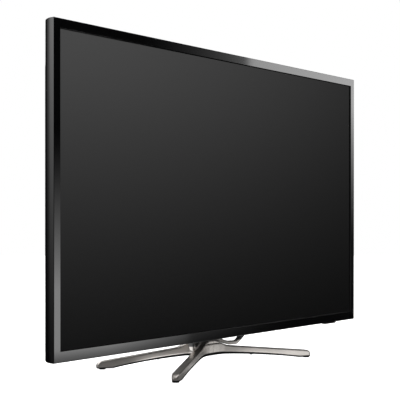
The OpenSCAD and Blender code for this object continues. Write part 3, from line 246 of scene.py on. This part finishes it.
def board_finish(name, mask, copper):
    """Circuit board: solder mask over a maze of tracks, with bright pads."""
    finish, tree, shader, place = new_finish(name)
    upright = (math.radians(90), 0, 0)
    flat = node(tree, "ShaderNodeMapping", {0: place, 2: upright}).outputs[0]
    bricks = {"Vector": flat, "Scale": TRACK_SCALE, "Mortar Size": TRACK_GAP, "Bias": 0.0}
    tracks = node(tree, "ShaderNodeTexBrick", bricks).outputs["Fac"]
    cells = node(tree, "ShaderNodeTexVoronoi", {"Vector": flat, "Scale": PAD_SCALE}).outputs[0]
    pads = spread(tree, cells, 1, 0, *PAD_RIM)
    base = tint(tree, tracks, mask, shade(mask, TRACK_TONE))
    tree.links.new(tint(tree, pads, base, copper), shader.inputs["Base Color"])
    tree.links.new(spread(tree, pads, MASK_ROUGH, PAD_ROUGH, 0, 1), shader.inputs["Roughness"])
    relief(tree, shader, tracks, TRACK_BUMP, TRACK_DEPTH)
    return finish


# Finishes of the CAD nodes: name, colour, roughness and metal, then what differs from the usual
FINISHES = {
    "liner": partial(plain_finish, "liner_plastic", (0.003, 0.003, 0.003), 0.9,
                     fine=1400, bump=0.25, specular=0.1),
    "rubber": partial(plain_finish, "foot_rubber", (0.02, 0.02, 0.02), 0.8, fine=2600, bump=0.4),
    "steel": partial(plain_finish, "plated_steel", (0.55, 0.55, 0.56), 0.3, 1.0,
                     fine=700, bump=0.06),
    "black_steel": partial(plain_finish, "blackened_steel", (0.09, 0.09, 0.095), 0.32, 1.0,
                           fine=700, bump=0.06),
    "sheet_steel": partial(plain_finish, "zinc_sheet", (0.5, 0.52, 0.54), 0.42, 1.0,
                           tone=0.25, coarse=55, bump=0.05),
    "nylon": partial(plain_finish, "black_nylon", (0.03, 0.03, 0.03), 0.45, fine=1200),
    "foam": partial(plain_finish, "black_foam", (0.015, 0.015, 0.015), 0.95, fine=3000, bump=0.6),
    "frame_plastic": partial(plain_finish, "frame_plastic", (0.02, 0.02, 0.021), 0.5,
                             fine=1500, bump=0.2),
    "film": partial(plain_finish, "diffuser_film", (0.8, 0.81, 0.82), 0.6,
                    tone=0.03, fine=3000, bump=0.05),
    "acrylic": partial(plain_finish, "acrylic_plate", (0.78, 0.83, 0.84), 0.15,
                       tone=0.03, fine=500, bump=0.02),
    "white_board": partial(plain_finish, "white_board", (0.78, 0.78, 0.74), 0.4),
    "led": partial(plain_finish, "diode_phosphor", (0.85, 0.7, 0.2), 0.35, fine=1600),
    "aluminium": partial(plain_finish, "extruded_aluminium", (0.72, 0.73, 0.74), 0.32, 1.0,
                         stretch=(0.05, 1, 1), bump=0.15),
    "board": partial(board_finish, "green_circuit_board", (0.012, 0.09, 0.035), (0.7, 0.5, 0.25)),
    "power_board": partial(board_finish, "tan_circuit_board", (0.42, 0.29, 0.13), (0.7, 0.66, 0.6)),
    "amber": partial(plain_finish, "amber_film", (0.55, 0.27, 0.05), 0.3,
                     stretch=(8, 1, 0.2), coarse=120, tone=0.3),
    "ribbon": partial(plain_finish, "ribbon_cable", (0.12, 0.12, 0.13), 0.45,
                      stretch=(20, 1, 0.1), coarse=60, tone=0.3),
    "transformer": partial(plain_finish, "transformer_tape", (0.75, 0.6, 0.16), 0.4,
                           stretch=(1, 6, 1), coarse=60),
    "capacitor": partial(plain_finish, "capacitor_sleeve", (0.02, 0.03, 0.12), 0.25,
                         fine=400, bump=0.04),
    "brass": partial(plain_finish, "plated_brass", (0.8, 0.6, 0.28), 0.25, 1.0, fine=700),
    "wire": partial(plain_finish, "wire_insulation", (0.35, 0.05, 0.04), 0.4, coarse=30, tone=0.3),
    "speaker": partial(plain_finish, "speaker_plastic", (0.016, 0.016, 0.017), 0.5,
                       fine=1500, bump=0.25),
    "driver": partial(plain_finish, "speaker_cone", (0.05, 0.05, 0.055), 0.7,
                      fine=2400, bump=0.35),
    "jack_plate": partial(plain_finish, "jack_plate_plastic", (0.025, 0.026, 0.028), 0.5,
                          fine=1500, bump=0.2),
    "socket": partial(plain_finish, "socket_shell", (0.6, 0.6, 0.6), 0.28, 1.0, bump=0.05),
    "inlet": partial(plain_finish, "inlet_plastic", (0.016, 0.016, 0.016), 0.4,
                     fine=1200, bump=0.12),
}


def dress(finish, *nodes):
    """Gives CAD nodes a material."""
    for key in nodes:
        slots = NODES[key].data.materials
        slots.clear()
        slots.append(finish)


def wear(name, *nodes):
    """Gives CAD nodes one of the finishes."""
    dress(FINISHES[name](), *nodes)


# Mesh helpers


def merged_copy(key):
    """Copy of a CAD node's mesh with its flat faces joined and its shortest edges closed."""
    bm = bmesh.new()
    bm.from_mesh(NODES[key].data)
    bmesh.ops.remove_doubles(bm, verts=bm.verts, dist=SHORTEST_EDGE)
    bmesh.ops.dissolve_limit(bm, angle_limit=FLAT_ANGLE, verts=bm.verts, edges=bm.edges)
    return bm


def piece(name, bm, body, finish, slot, *stands_for, smooth=35):
    """Object from a bmesh that rides on a body and may stand for CAD nodes."""
    mesh = bpy.data.meshes.new(name)
    bm.to_mesh(mesh)
    bm.free()
    mesh.shade_smooth()
    mesh.set_sharp_from_angle(angle=math.radians(smooth))
    mesh.materials.append(finish)
    made = bpy.data.objects.new(name, mesh)
    bpy.context.scene.collection.objects.link(made)
    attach(made, body)
    if stands_for:
        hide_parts(*stands_for)
    return made


def round_edges(made, width, angle, segments=2, by_area=False):
    """Live bevel of the edges above an angle; the shading can follow the largest faces."""
    bevel = made.modifiers.new("rounding", "BEVEL")
    bevel.width = width
    bevel.segments = segments
    bevel.use_clamp_overlap = False
    bevel.limit_method = "ANGLE"
    bevel.angle_limit = math.radians(angle)
    bevel.harden_normals = not by_area
    if by_area:
        shading = made.modifiers.new("shading", "WEIGHTED_NORMAL")
        shading.weight = AREA_WEIGHT
        shading.keep_sharp = True


# Properties


def colour_value(name, description, default):
    """Property for a colour."""
    return FloatVectorProperty(name=name, description=description, default=default, min=0, max=1,
                               subtype="COLOR")


def rounding_value(name, description, default):
    """Property for the width of a bevel."""
    return FloatProperty(name=name, description=description, default=default, min=0.0001, max=0.002,
                         unit="LENGTH")


def glow_value(name, description, default):
    """Property for the brightness of a card."""
    return FloatProperty(name=name, description=description, default=default, min=0)


def power_value(name, description, default):
    """Property for the power of a lamp."""
    return FloatProperty(name=name, description=description, default=default, min=0, unit="POWER")


class TelevisionFinish(bpy.types.PropertyGroup):
    """Colours and roundings of the television."""

    bezel_colour: colour_value("Bezel Colour", "Glossy bezel", (0.0008, 0.0008, 0.0009))
    screen_colour: colour_value("Screen Colour", "Dark panel with the picture off",
                                (0.0008, 0.0008, 0.0009))
    cover_colour: colour_value("Cover Colour", "Grained rear cover", (0.018, 0.018, 0.02))
    stand_colour: colour_value("Stand Colour", "Satin metal of the stand", (0.56, 0.53, 0.50))
    screen_roughness: FloatProperty(name="Screen Roughness",
                                    description="Matt coating of the panel",
                                    default=0.3, min=0, max=1, subtype="FACTOR")
    stand_grid: FloatProperty(name="Stand Grid", description="Size of the faces of the castings",
                              default=0.001, min=0.0008, max=0.003, unit="LENGTH")
    stand_passes: IntProperty(name="Stand Rounding",
                              description="Smoothing passes that round the cast stand's edges",
                              default=8, min=0, max=60)
    tip_passes: IntProperty(name="Tip Rounding",
                            description="Further smoothing passes at the tips of the legs",
                            default=16, min=0, max=120)
    neck_passes: IntProperty(name="Neck Rounding",
                             description="Smoothing passes that round the neck's edges",
                             default=4, min=0, max=30)
    bezel_rounding: rounding_value("Bezel Rounding", "Rounding of the bezel's edges", 0.0003)
    window_rounding: rounding_value("Window Rounding", "Rounding of the receiver window", 0.0006)
    cover_rounding: rounding_value("Cover Rounding", "Rounding of the rear cover's edges", 0.0009)
    tray_rounding: rounding_value("Tray Rounding", "Rounding of the plug bays' edges", 0.0005)


class TelevisionStudio(bpy.types.PropertyGroup):
    """Camera and light of the studio."""

    camera_place: FloatVectorProperty(name="Camera Place", description="Where the camera stands",
                                      default=(-1.5556, -1.2231, 0.2780),
                                      subtype="XYZ", unit="LENGTH")
    camera_turn: FloatProperty(name="Camera Turn",
                               description="Turn of the level camera about the vertical",
                               default=math.radians(-51.68), subtype="ANGLE", unit="ROTATION")
    camera_lens: FloatProperty(name="Lens", description="Focal length on a 36 mm sensor",
                               default=92.57, min=10, unit="CAMERA")
    camera_shift: FloatProperty(name="Upward Shift", description="Upward shift of the picture",
                                default=0.0482)
    floor_reach: FloatProperty(name="Floor Reach", description="Radius of the pale floor",
                               default=6.0, unit="LENGTH")
    disc_reach: FloatProperty(name="Disc Reach", description="Radius of the floor that mirrors see",
                              default=0.36, unit="LENGTH")
    floor_colour: colour_value("Floor Colour", "Pale floor", (0.9, 0.9, 0.9))
    low_card: glow_value("Low Card", "Brightness of the card mirrored at the lower left", 4.1)
    high_card: glow_value("High Card", "Brightness of the card mirrored at the upper right", 4.2)
    side_card: glow_value("Side Card", "Brightness of the card mirrored in the left side", 4.4)
    screen_card: glow_value("Screen Card", "Brightness of the card mirrored in the panel", 1.7)
    rear_card: glow_value("Rear Card", "Brightness of the card mirrored on top of the legs", 0.6)
    stand_card: glow_value("Stand Card", "Brightness of the high card that only the legs mirror",
                           0.5)
    overhead: power_value("Overhead", "Power of the large light above", 25)
    rear_fill: power_value("Rear Fill", "Power of the light behind the set", 30)


# Pieces


class TELEVISION_OT_stand(bpy.types.Operator):
    """Rounds the cast legs and the neck, and finishes the pieces of the swivel"""

    bl_idname = "television.stand"
    bl_label = "Stand and Neck"

    def execute(self, context):
        values = context.scene.tv_finish
        satin = self.satin_metal(values.stand_colour)
        stand = piece("stand_casting", merged_copy("stand_base"), "stand", satin, "cast_metal",
                      "stand_base", smooth=ALL_SMOOTH)
        crisp = self.soften(stand, values.stand_grid, values.stand_passes)
        self.round_tips(stand, crisp, values.tip_passes)
        # The neck's finish paints black shade just under the set's lower edge and on the arms' ends
        neck_shade_finish = self.shade_painted_metal(values.stand_colour)
        neck = piece("neck_casting", merged_copy("swivel_neck"), "set", neck_shade_finish, "cast_metal",
                     "swivel_neck", smooth=ALL_SMOOTH)
        self.soften(neck, values.stand_grid, values.neck_passes)
        wear("liner", "base_liner")
        wear("rubber", "foot_pads")
        wear("steel", "liner_screws", "swivel_shaft", "spring_washer", "swivel_nut", "neck_screws")
        wear("nylon", "bearing_washer", "friction_washer")
        wear("sheet_steel", "stand_bracket")
        return {"FINISHED"}

    def soften(self, made, grid, passes):
        """Gives a casting an even mesh and rounds its edges; returns the points kept crisp."""
        top = max(v.co.z for v in made.data.vertices)
        remesh = made.modifiers.new("even_mesh", "REMESH")
        remesh.mode = "VOXEL"
        remesh.voxel_size = grid
        remesh.use_smooth_shade = True
        remeshed = made.evaluated_get(bpy.context.evaluated_depsgraph_get())
        even = bpy.data.meshes.new_from_object(remeshed)
        made.modifiers.clear()
        made.data = even
        crisp = self.crisp_points(even, top - TOP_CELLS * grid)
        rounded = made.vertex_groups.new(name="rounded")
        rounded.add(range(len(even.vertices)), 1.0, "REPLACE")
        rounded.add(crisp, CRISP_WEIGHT, "REPLACE")
        self.smooth(made, rounded, passes)
        return crisp

    def crisp_points(self, mesh, top):
        """Points of the underside and of the top, with the rings of points about them."""
        bm = bmesh.new()
        bm.from_mesh(mesh)
        crisp = {v for v in bm.verts if v.normal.z < UNDERSIDE or v.co.z > top}
        for _ in range(CRISP_RINGS):
            crisp |= {e.other_vert(v) for v in crisp for e in v.link_edges}
        points = sorted(v.index for v in crisp)
        bm.free()
        return points

    def round_tips(self, made, crisp, passes):
        """Smooths the ends of the front and of the rear legs further."""
        points = made.data.vertices
        ends = {rear: max(v.co.xy.length for v in points if (v.co.y > 0) == rear)
                for rear in (False, True)}
        tips = made.vertex_groups.new(name="tips")
        for v in points:
            inward = ends[v.co.y > 0] - v.co.xy.length
            tips.add([v.index], max(0, 1 - inward / TIP_LENGTH), "REPLACE")
        tips.add(crisp, CRISP_WEIGHT, "REPLACE")
        self.smooth(made, tips, passes)

    def smooth(self, made, group, passes):
        """Live smoothing of a group of points, each by its weight."""
        rounding = made.modifiers.new(group.name, "SMOOTH")
        rounding.factor = 0.5
        rounding.iterations = passes
        rounding.vertex_group = group.name

    def satin_metal(self, colour):
        """Bead-blasted and lacquered metal, partly diffuse."""
        return plain_finish("satin_stand_metal", tuple(colour), SATIN_ROUGH, SATIN_METAL, **SATIN)

    def shade_painted_metal(self, colour):
        """Satin metal with black painted shade near the set's lower edge, and lower on the arms."""
        finish, tree, shader, place = new_finish("neck_metal_painted_shade")
        height = node(tree, "ShaderNodeSeparateXYZ", {0: place}).outputs["Z"]
        plan = {0: place, 1: (1, 1, 0)}
        flat = node(tree, "ShaderNodeVectorMath", plan, operation="MULTIPLY").outputs[0]
        drop = spread(tree, length(tree, flat), 0, SHADE_DROP, *SHADE_DROP_REACH)
        # Painted shade: black from just under the set's lower edge up, lower towards the arms' ends
        shaded = spread(tree, maths(tree, "ADD", height, drop), 0, 1, *SHADE_EDGE)
        metal = mottled(tree, place, colour, SATIN["tone"], SATIN["coarse"])
        grain = noise(tree, place, SATIN["fine"], GRAIN_DETAIL)
        tree.links.new(tint(tree, shaded, metal, SHADE_COLOUR), shader.inputs["Base Color"])
        tree.links.new(spread(tree, shaded, SATIN_METAL, 0, 0, 1), shader.inputs["Metallic"])
        tree.links.new(spread(tree, grain, *NECK_ROUGH), shader.inputs["Roughness"])
        relief(tree, shader, grain, SATIN["bump"], SATIN["depth"])
        return finish


class TELEVISION_OT_front(bpy.types.Operator):
    """Rounds the bezel and the receiver's window, and finishes the panel and its backlight"""

    bl_idname = "television.front"
    bl_label = "Bezel, Panel and Backlight"

    def execute(self, context):
        values = context.scene.tv_finish
        gloss = self.gloss_black(values.bezel_colour)
        bezel = piece("bezel_frame", merged_copy("front_bezel"), "set", gloss, "gloss_black",
                      "front_bezel", smooth=30)
        round_edges(bezel, values.bezel_rounding, angle=30)
        window = piece("receiver_lens", merged_copy("receiver_window"), "set", self.smoked(),
                       "smoked_plastic", "receiver_window")
        round_edges(window, values.window_rounding, angle=40, segments=3)
        dress(self.dark_glass(values.screen_colour, values.screen_roughness), "lcd_panel")
        wear("board", "receiver_board", "source_boards", "tcon_board")
        wear("foam", "panel_gasket")
        wear("frame_plastic", "panel_frame")
        wear("film", "optical_sheets", "reflector_sheet")
        wear("acrylic", "light_guide")
        wear("white_board", "led_strip")
        wear("led", "led_chips")
        wear("aluminium", "led_heat_sink")
        wear("sheet_steel", "rear_chassis")
        wear("amber", "panel_films")
        wear("ribbon", "tcon_cables", "lvds_cable")
        return {"FINISHED"}

    def gloss_black(self, colour):
        """Polished black plastic."""
        return plain_finish("gloss_black_plastic", tuple(colour), 0.06, tone=0.1, coarse=60,
                            fine=260, bump=0.01, depth=0.00005)

    def smoked(self):
        """Smoked plastic that lets infrared light through."""
        return plain_finish("smoked_window", (0.008, 0.006, 0.006), 0.12, tone=0.2, fine=300,
                            bump=0.01)

    def dark_glass(self, colour, rough):
        """Panel with a matt coating."""
        return plain_finish("panel_coating", tuple(colour), rough, tone=0.05, coarse=20, fine=3200,
                            bump=0.03, depth=0.00002)


class TELEVISION_OT_electronics(bpy.types.Operator):
    """Finishes the boards, harnesses and speakers inside the set"""

    bl_idname = "television.electronics"
    bl_label = "Electronics and Speakers"

    def execute(self, context):
        wear("board", "main_board", "wifi_module", "jog_board")
        wear("aluminium", "main_heat_sink")
        wear("power_board", "power_board")
        wear("transformer", "power_transformer")
        wear("capacitor", "power_capacitors")
        wear("wire", "power_harness", "led_harness", "speaker_wires")
        wear("brass", "board_posts")
        wear("steel", "board_screws")
        wear("speaker", "speaker_boxes")
        wear("driver", "speaker_drivers")
        return {"FINISHED"}


class TELEVISION_OT_back(bpy.types.Operator):
    """Rounds the rear cover and its plug bays, and finishes the pieces on the back"""

    bl_idname = "television.back"
    bl_label = "Rear Cover and Sockets"

    def execute(self, context):
        values = context.scene.tv_finish
        grained = self.grained_plastic(values.cover_colour)
        cover = piece("back_shell", merged_copy("rear_cover"), "set", grained, "black_plastic",
                      "rear_cover")
        round_edges(cover, values.cover_rounding, angle=35, by_area=True)
        wear("black_steel", "cover_screws")
        wear("steel", "mount_inserts")
        trays = piece("plug_trays", merged_copy("bay_trays"), "set", grained, "black_plastic",
                      "bay_trays")
        round_edges(trays, values.tray_rounding, angle=35, by_area=True)
        wear("jack_plate", "jack_plate")
        wear("socket", "hdmi_sockets", "usb_sockets", "lan_socket", "tuner_socket")
        wear("brass", "av_jacks", "inlet_pins")
        wear("inlet", "ac_inlet")
        return {"FINISHED"}

    def grained_plastic(self, colour):
        """Spark-eroded grain on black plastic."""
        return plain_finish("grained_cover_plastic", tuple(colour), 0.48, tone=0.08, coarse=12,
                            fine=1300, bump=0.35, depth=0.00025)


class TELEVISION_OT_joystick(bpy.types.Operator):
    """Finishes the joystick on the back"""

    bl_idname = "television.joystick"
    bl_label = "Joystick"

    def execute(self, context):
        wear("frame_plastic", "jog_housing", "jog_ring", "jog_stem")
        wear("inlet", "jog_cap")
        return {"FINISHED"}


class TELEVISION_OT_studio(bpy.types.Operator):
    """Sets up the camera, the pale floor and the soft light"""

    bl_idname = "television.studio"
    bl_label = "Studio"

    def execute(self, context):
        studio = context.scene.tv_studio
        self.add_camera(context, studio)
        self.add_sky(context)
        self.add_floor(studio)
        self.add_cards(studio)
        self.add_lamp("overhead", studio.overhead, place=(-0.3, -0.6, 2.4), aim=(0, 0, 0.2),
                      width=2.4, height=2.0)
        self.add_lamp("rear_fill", studio.rear_fill, place=(0.6, 2.6, 1.7), aim=(0, 0, 0.3),
                      width=2.2, height=1.6)
        context.scene.view_settings.view_transform = "Standard"
        return {"FINISHED"}

    def add_camera(self, context, studio):
        """Level camera, shifted rather than tilted."""
        lens = bpy.data.cameras.new("photo_camera")
        lens.sensor_width = 36
        lens.lens = studio.camera_lens
        lens.shift_y = studio.camera_shift
        lens.clip_end = 50
        camera = bpy.data.objects.new("photo_camera", lens)
        camera.location = studio.camera_place
        camera.rotation_euler = (math.radians(90), 0, studio.camera_turn)
        context.scene.collection.objects.link(camera)
        context.scene.camera = camera

    def add_sky(self, context):
        """White for the camera, soft for matt surfaces and dark for mirrors."""
        sky = bpy.data.worlds.new("studio_sky")
        context.scene.world = sky
        sky.use_nodes = True
        tree = sky.node_tree
        back = tree.nodes["Background"]
        path = node(tree, "ShaderNodeLightPath").outputs
        unseen = {0: path["Is Glossy Ray"], 2: SKY_SOFT, 3: SKY_MIRRORED}
        soft = node(tree, "ShaderNodeMix", unseen, data_type="FLOAT").outputs[0]
        any_ray = {0: path["Is Camera Ray"], 2: soft, 3: SKY_SEEN}
        seen = node(tree, "ShaderNodeMix", any_ray, data_type="FLOAT").outputs[0]
        tree.links.new(seen, back.inputs["Strength"])
        back.inputs["Color"].default_value = (1, 1, 1, 1)

    def add_floor(self, studio):
        """Pale floor: a near disc that mirrors see, except the panel, and a far ring."""
        finish = self.floor_finish(studio.floor_colour)
        near = bmesh.new()
        bmesh.ops.create_circle(near, cap_ends=True, radius=studio.disc_reach,
                                segments=FLOOR_CORNERS)
        near_floor = self.set_out("floor_near", near, finish)
        self.link_light(near_floor, [NODES["lcd_panel"]], "EXCLUDE")
        far = bmesh.new()
        bmesh.ops.create_circle(far, cap_ends=False, radius=studio.disc_reach,
                                segments=FLOOR_CORNERS)
        outer = bmesh.ops.extrude_edge_only(far, edges=far.edges[:])["geom"]
        moved = [v for v in outer if isinstance(v, bmesh.types.BMVert)]
        bmesh.ops.scale(far, vec=(studio.floor_reach / studio.disc_reach,) * 3, verts=moved)
        far_floor = self.set_out("floor_far", far, finish)
        far_floor.visible_glossy = False

    def floor_finish(self, colour):
        """Pale to the camera; to mirrors, a glow that varies over the floor."""
        finish, tree, shader, place = new_finish("pale_floor")
        pale = tint(tree, noise(tree, place, FLOOR_MOTTLE), shade(colour, FLOOR_TONE), colour)
        tree.links.new(pale, shader.inputs["Base Color"])
        shader.inputs["Roughness"].default_value = FLOOR_ROUGH
        shader.inputs["Specular IOR Level"].default_value = 0.0
        shader.inputs["Emission Color"].default_value = (1, 1, 1, 1)
        shader.inputs["Emission Strength"].default_value = FLOOR_EMISSION
        axes = node(tree, "ShaderNodeSeparateXYZ", {0: place}).outputs
        from_leg = {0: place, 1: AHEAD}
        ahead = node(tree, "ShaderNodeVectorMath", from_leg, operation="DOT_PRODUCT")
        measures = {"X": axes["X"], "Y": axes["Y"], "ahead": ahead.outputs["Value"],
                    "reach": length(tree, place)}
        mirrored = maths(tree, "MAXIMUM", self.ramped(tree, measures, FRONT_GLOW),
                         self.ramped(tree, measures, HUB_GLOW))
        glow = node(tree, "ShaderNodeEmission", {"Strength": mirrored}).outputs[0]
        path = node(tree, "ShaderNodeLightPath").outputs
        either = {0: path["Is Glossy Ray"], 1: shader.outputs[0], 2: glow}
        both = node(tree, "ShaderNodeMixShader", either).outputs[0]
        out = next(n for n in tree.nodes if n.type == "OUTPUT_MATERIAL")
        tree.links.new(both, out.inputs[0])
        return finish

    def ramped(self, tree, measures, ramps):
        """Product of ramps along named measures."""
        levels = [spread(tree, measures[name], low, high, start, end)
                  for name, start, end, low, high in ramps]
        return reduce(partial(maths, tree, "MULTIPLY"), levels)

    def set_out(self, name, bm, finish):
        """Stage object from a bmesh."""
        bmesh.ops.recalc_face_normals(bm, faces=bm.faces)
        mesh = bpy.data.meshes.new(name)
        bm.to_mesh(mesh)
        bm.free()
        mesh.materials.append(finish)
        made = bpy.data.objects.new(name, mesh)
        bpy.context.scene.collection.objects.link(made)
        return made

    def add_cards(self, studio):
        """Soft cards for the bezel, the panel and the castings to mirror."""
        for name, card in CARDS.items():
            glow = self.card_glow(name + "_glow", getattr(studio, name), card.ramps)
            made = self.set_out(name, self.upright(Vector(card.low), Vector(card.high)), glow)
            made.visible_camera = False
            made.visible_diffuse = False
            made.visible_shadow = False
            linked = [NODES.get(key) or bpy.data.objects[key] for key in card.linked]
            self.link_light(made, linked, card.state)

    def card_glow(self, name, peak, ramps):
        """Additive glow that falls off evenly to the eye, as a product of ramps along the axes."""
        finish = bpy.data.materials.new(name)
        finish.use_nodes = True
        tree = finish.node_tree
        tree.nodes.clear()
        place = node(tree, "ShaderNodeTexCoord").outputs["Object"]
        axes = node(tree, "ShaderNodeSeparateXYZ", {0: place}).outputs
        level = maths(tree, "POWER", self.ramped(tree, axes, ramps), EYE_GAMMA)
        strength = maths(tree, "MULTIPLY", level, peak)
        glow = node(tree, "ShaderNodeEmission", {"Strength": strength}).outputs[0]
        clear = node(tree, "ShaderNodeBsdfTransparent").outputs[0]
        both = node(tree, "ShaderNodeAddShader", {0: glow, 1: clear}).outputs[0]
        node(tree, "ShaderNodeOutputMaterial", {0: both})
        return finish

    def upright(self, low, high):
        """Upright rectangle between two corners, along X or along Y."""
        size = high - low
        bm = bmesh.new()
        bmesh.ops.create_grid(bm, x_segments=1, y_segments=1, size=0.5)
        turn = Matrix.Rotation(math.radians(90), 4, "X")
        if size.x < size.y:
            turn = Matrix.Rotation(math.radians(90), 4, "Z") @ turn
        stretch = Matrix.Diagonal((max(size.x, size.y), size.z, 1, 1))
        middle = Matrix.Translation((low + high) / 2)
        bmesh.ops.transform(bm, matrix=middle @ turn @ stretch, verts=bm.verts)
        return bm

    def link_light(self, source, linked, state):
        """Lights only some objects, or all but them."""
        receivers = bpy.data.collections.new(source.name + "_receivers")
        for made in linked:
            receivers.objects.link(made)
        for link in receivers.collection_objects:
            link.light_linking.link_state = state
        source.light_linking.receiver_collection = receivers

    def add_lamp(self, name, power, place, aim, width, height):
        """Soft rectangular lamp aimed at a point."""
        lamp = bpy.data.lights.new(name, "AREA")
        lamp.shape = "RECTANGLE"
        lamp.size, lamp.size_y = width, height
        lamp.energy = power
        made = bpy.data.objects.new(name, lamp)
        made.location = place
        made.rotation_euler = (Vector(aim) - Vector(place)).to_track_quat("-Z", "Y").to_euler()
        bpy.context.scene.collection.objects.link(made)
        made.visible_camera = False


class TELEVISION_PT_panel(bpy.types.Panel):
    """Lists the pieces and the values behind them"""

    bl_idname = "TELEVISION_PT_panel"
    bl_label = "Television"
    bl_space_type = "VIEW_3D"
    bl_region_type = "UI"
    bl_category = "Television"

    def draw(self, context):
        for group in (context.scene.tv_finish, context.scene.tv_studio):
            for key in group.__annotations__:
                self.layout.prop(group, key)
        for step in STEPS:
            self.layout.operator(step.bl_idname)


STEPS = (TELEVISION_OT_stand, TELEVISION_OT_front, TELEVISION_OT_electronics, TELEVISION_OT_back,
         TELEVISION_OT_joystick, TELEVISION_OT_studio)
CLASSES = (TelevisionFinish, TelevisionStudio, *STEPS, TELEVISION_PT_panel)


def register():
    for made in CLASSES:
        bpy.utils.register_class(made)
    bpy.types.Scene.tv_finish = PointerProperty(type=TelevisionFinish)
    bpy.types.Scene.tv_studio = PointerProperty(type=TelevisionStudio)


def unregister():
    del bpy.types.Scene.tv_studio
    del bpy.types.Scene.tv_finish
    for made in reversed(CLASSES):
        bpy.utils.unregister_class(made)


def main():
    register()
    bpy.ops.television.stand()
    bpy.ops.television.front()
    bpy.ops.television.electronics()
    bpy.ops.television.back()
    bpy.ops.television.joystick()
    bpy.ops.television.studio()


if __name__ == "__main__":
    main()
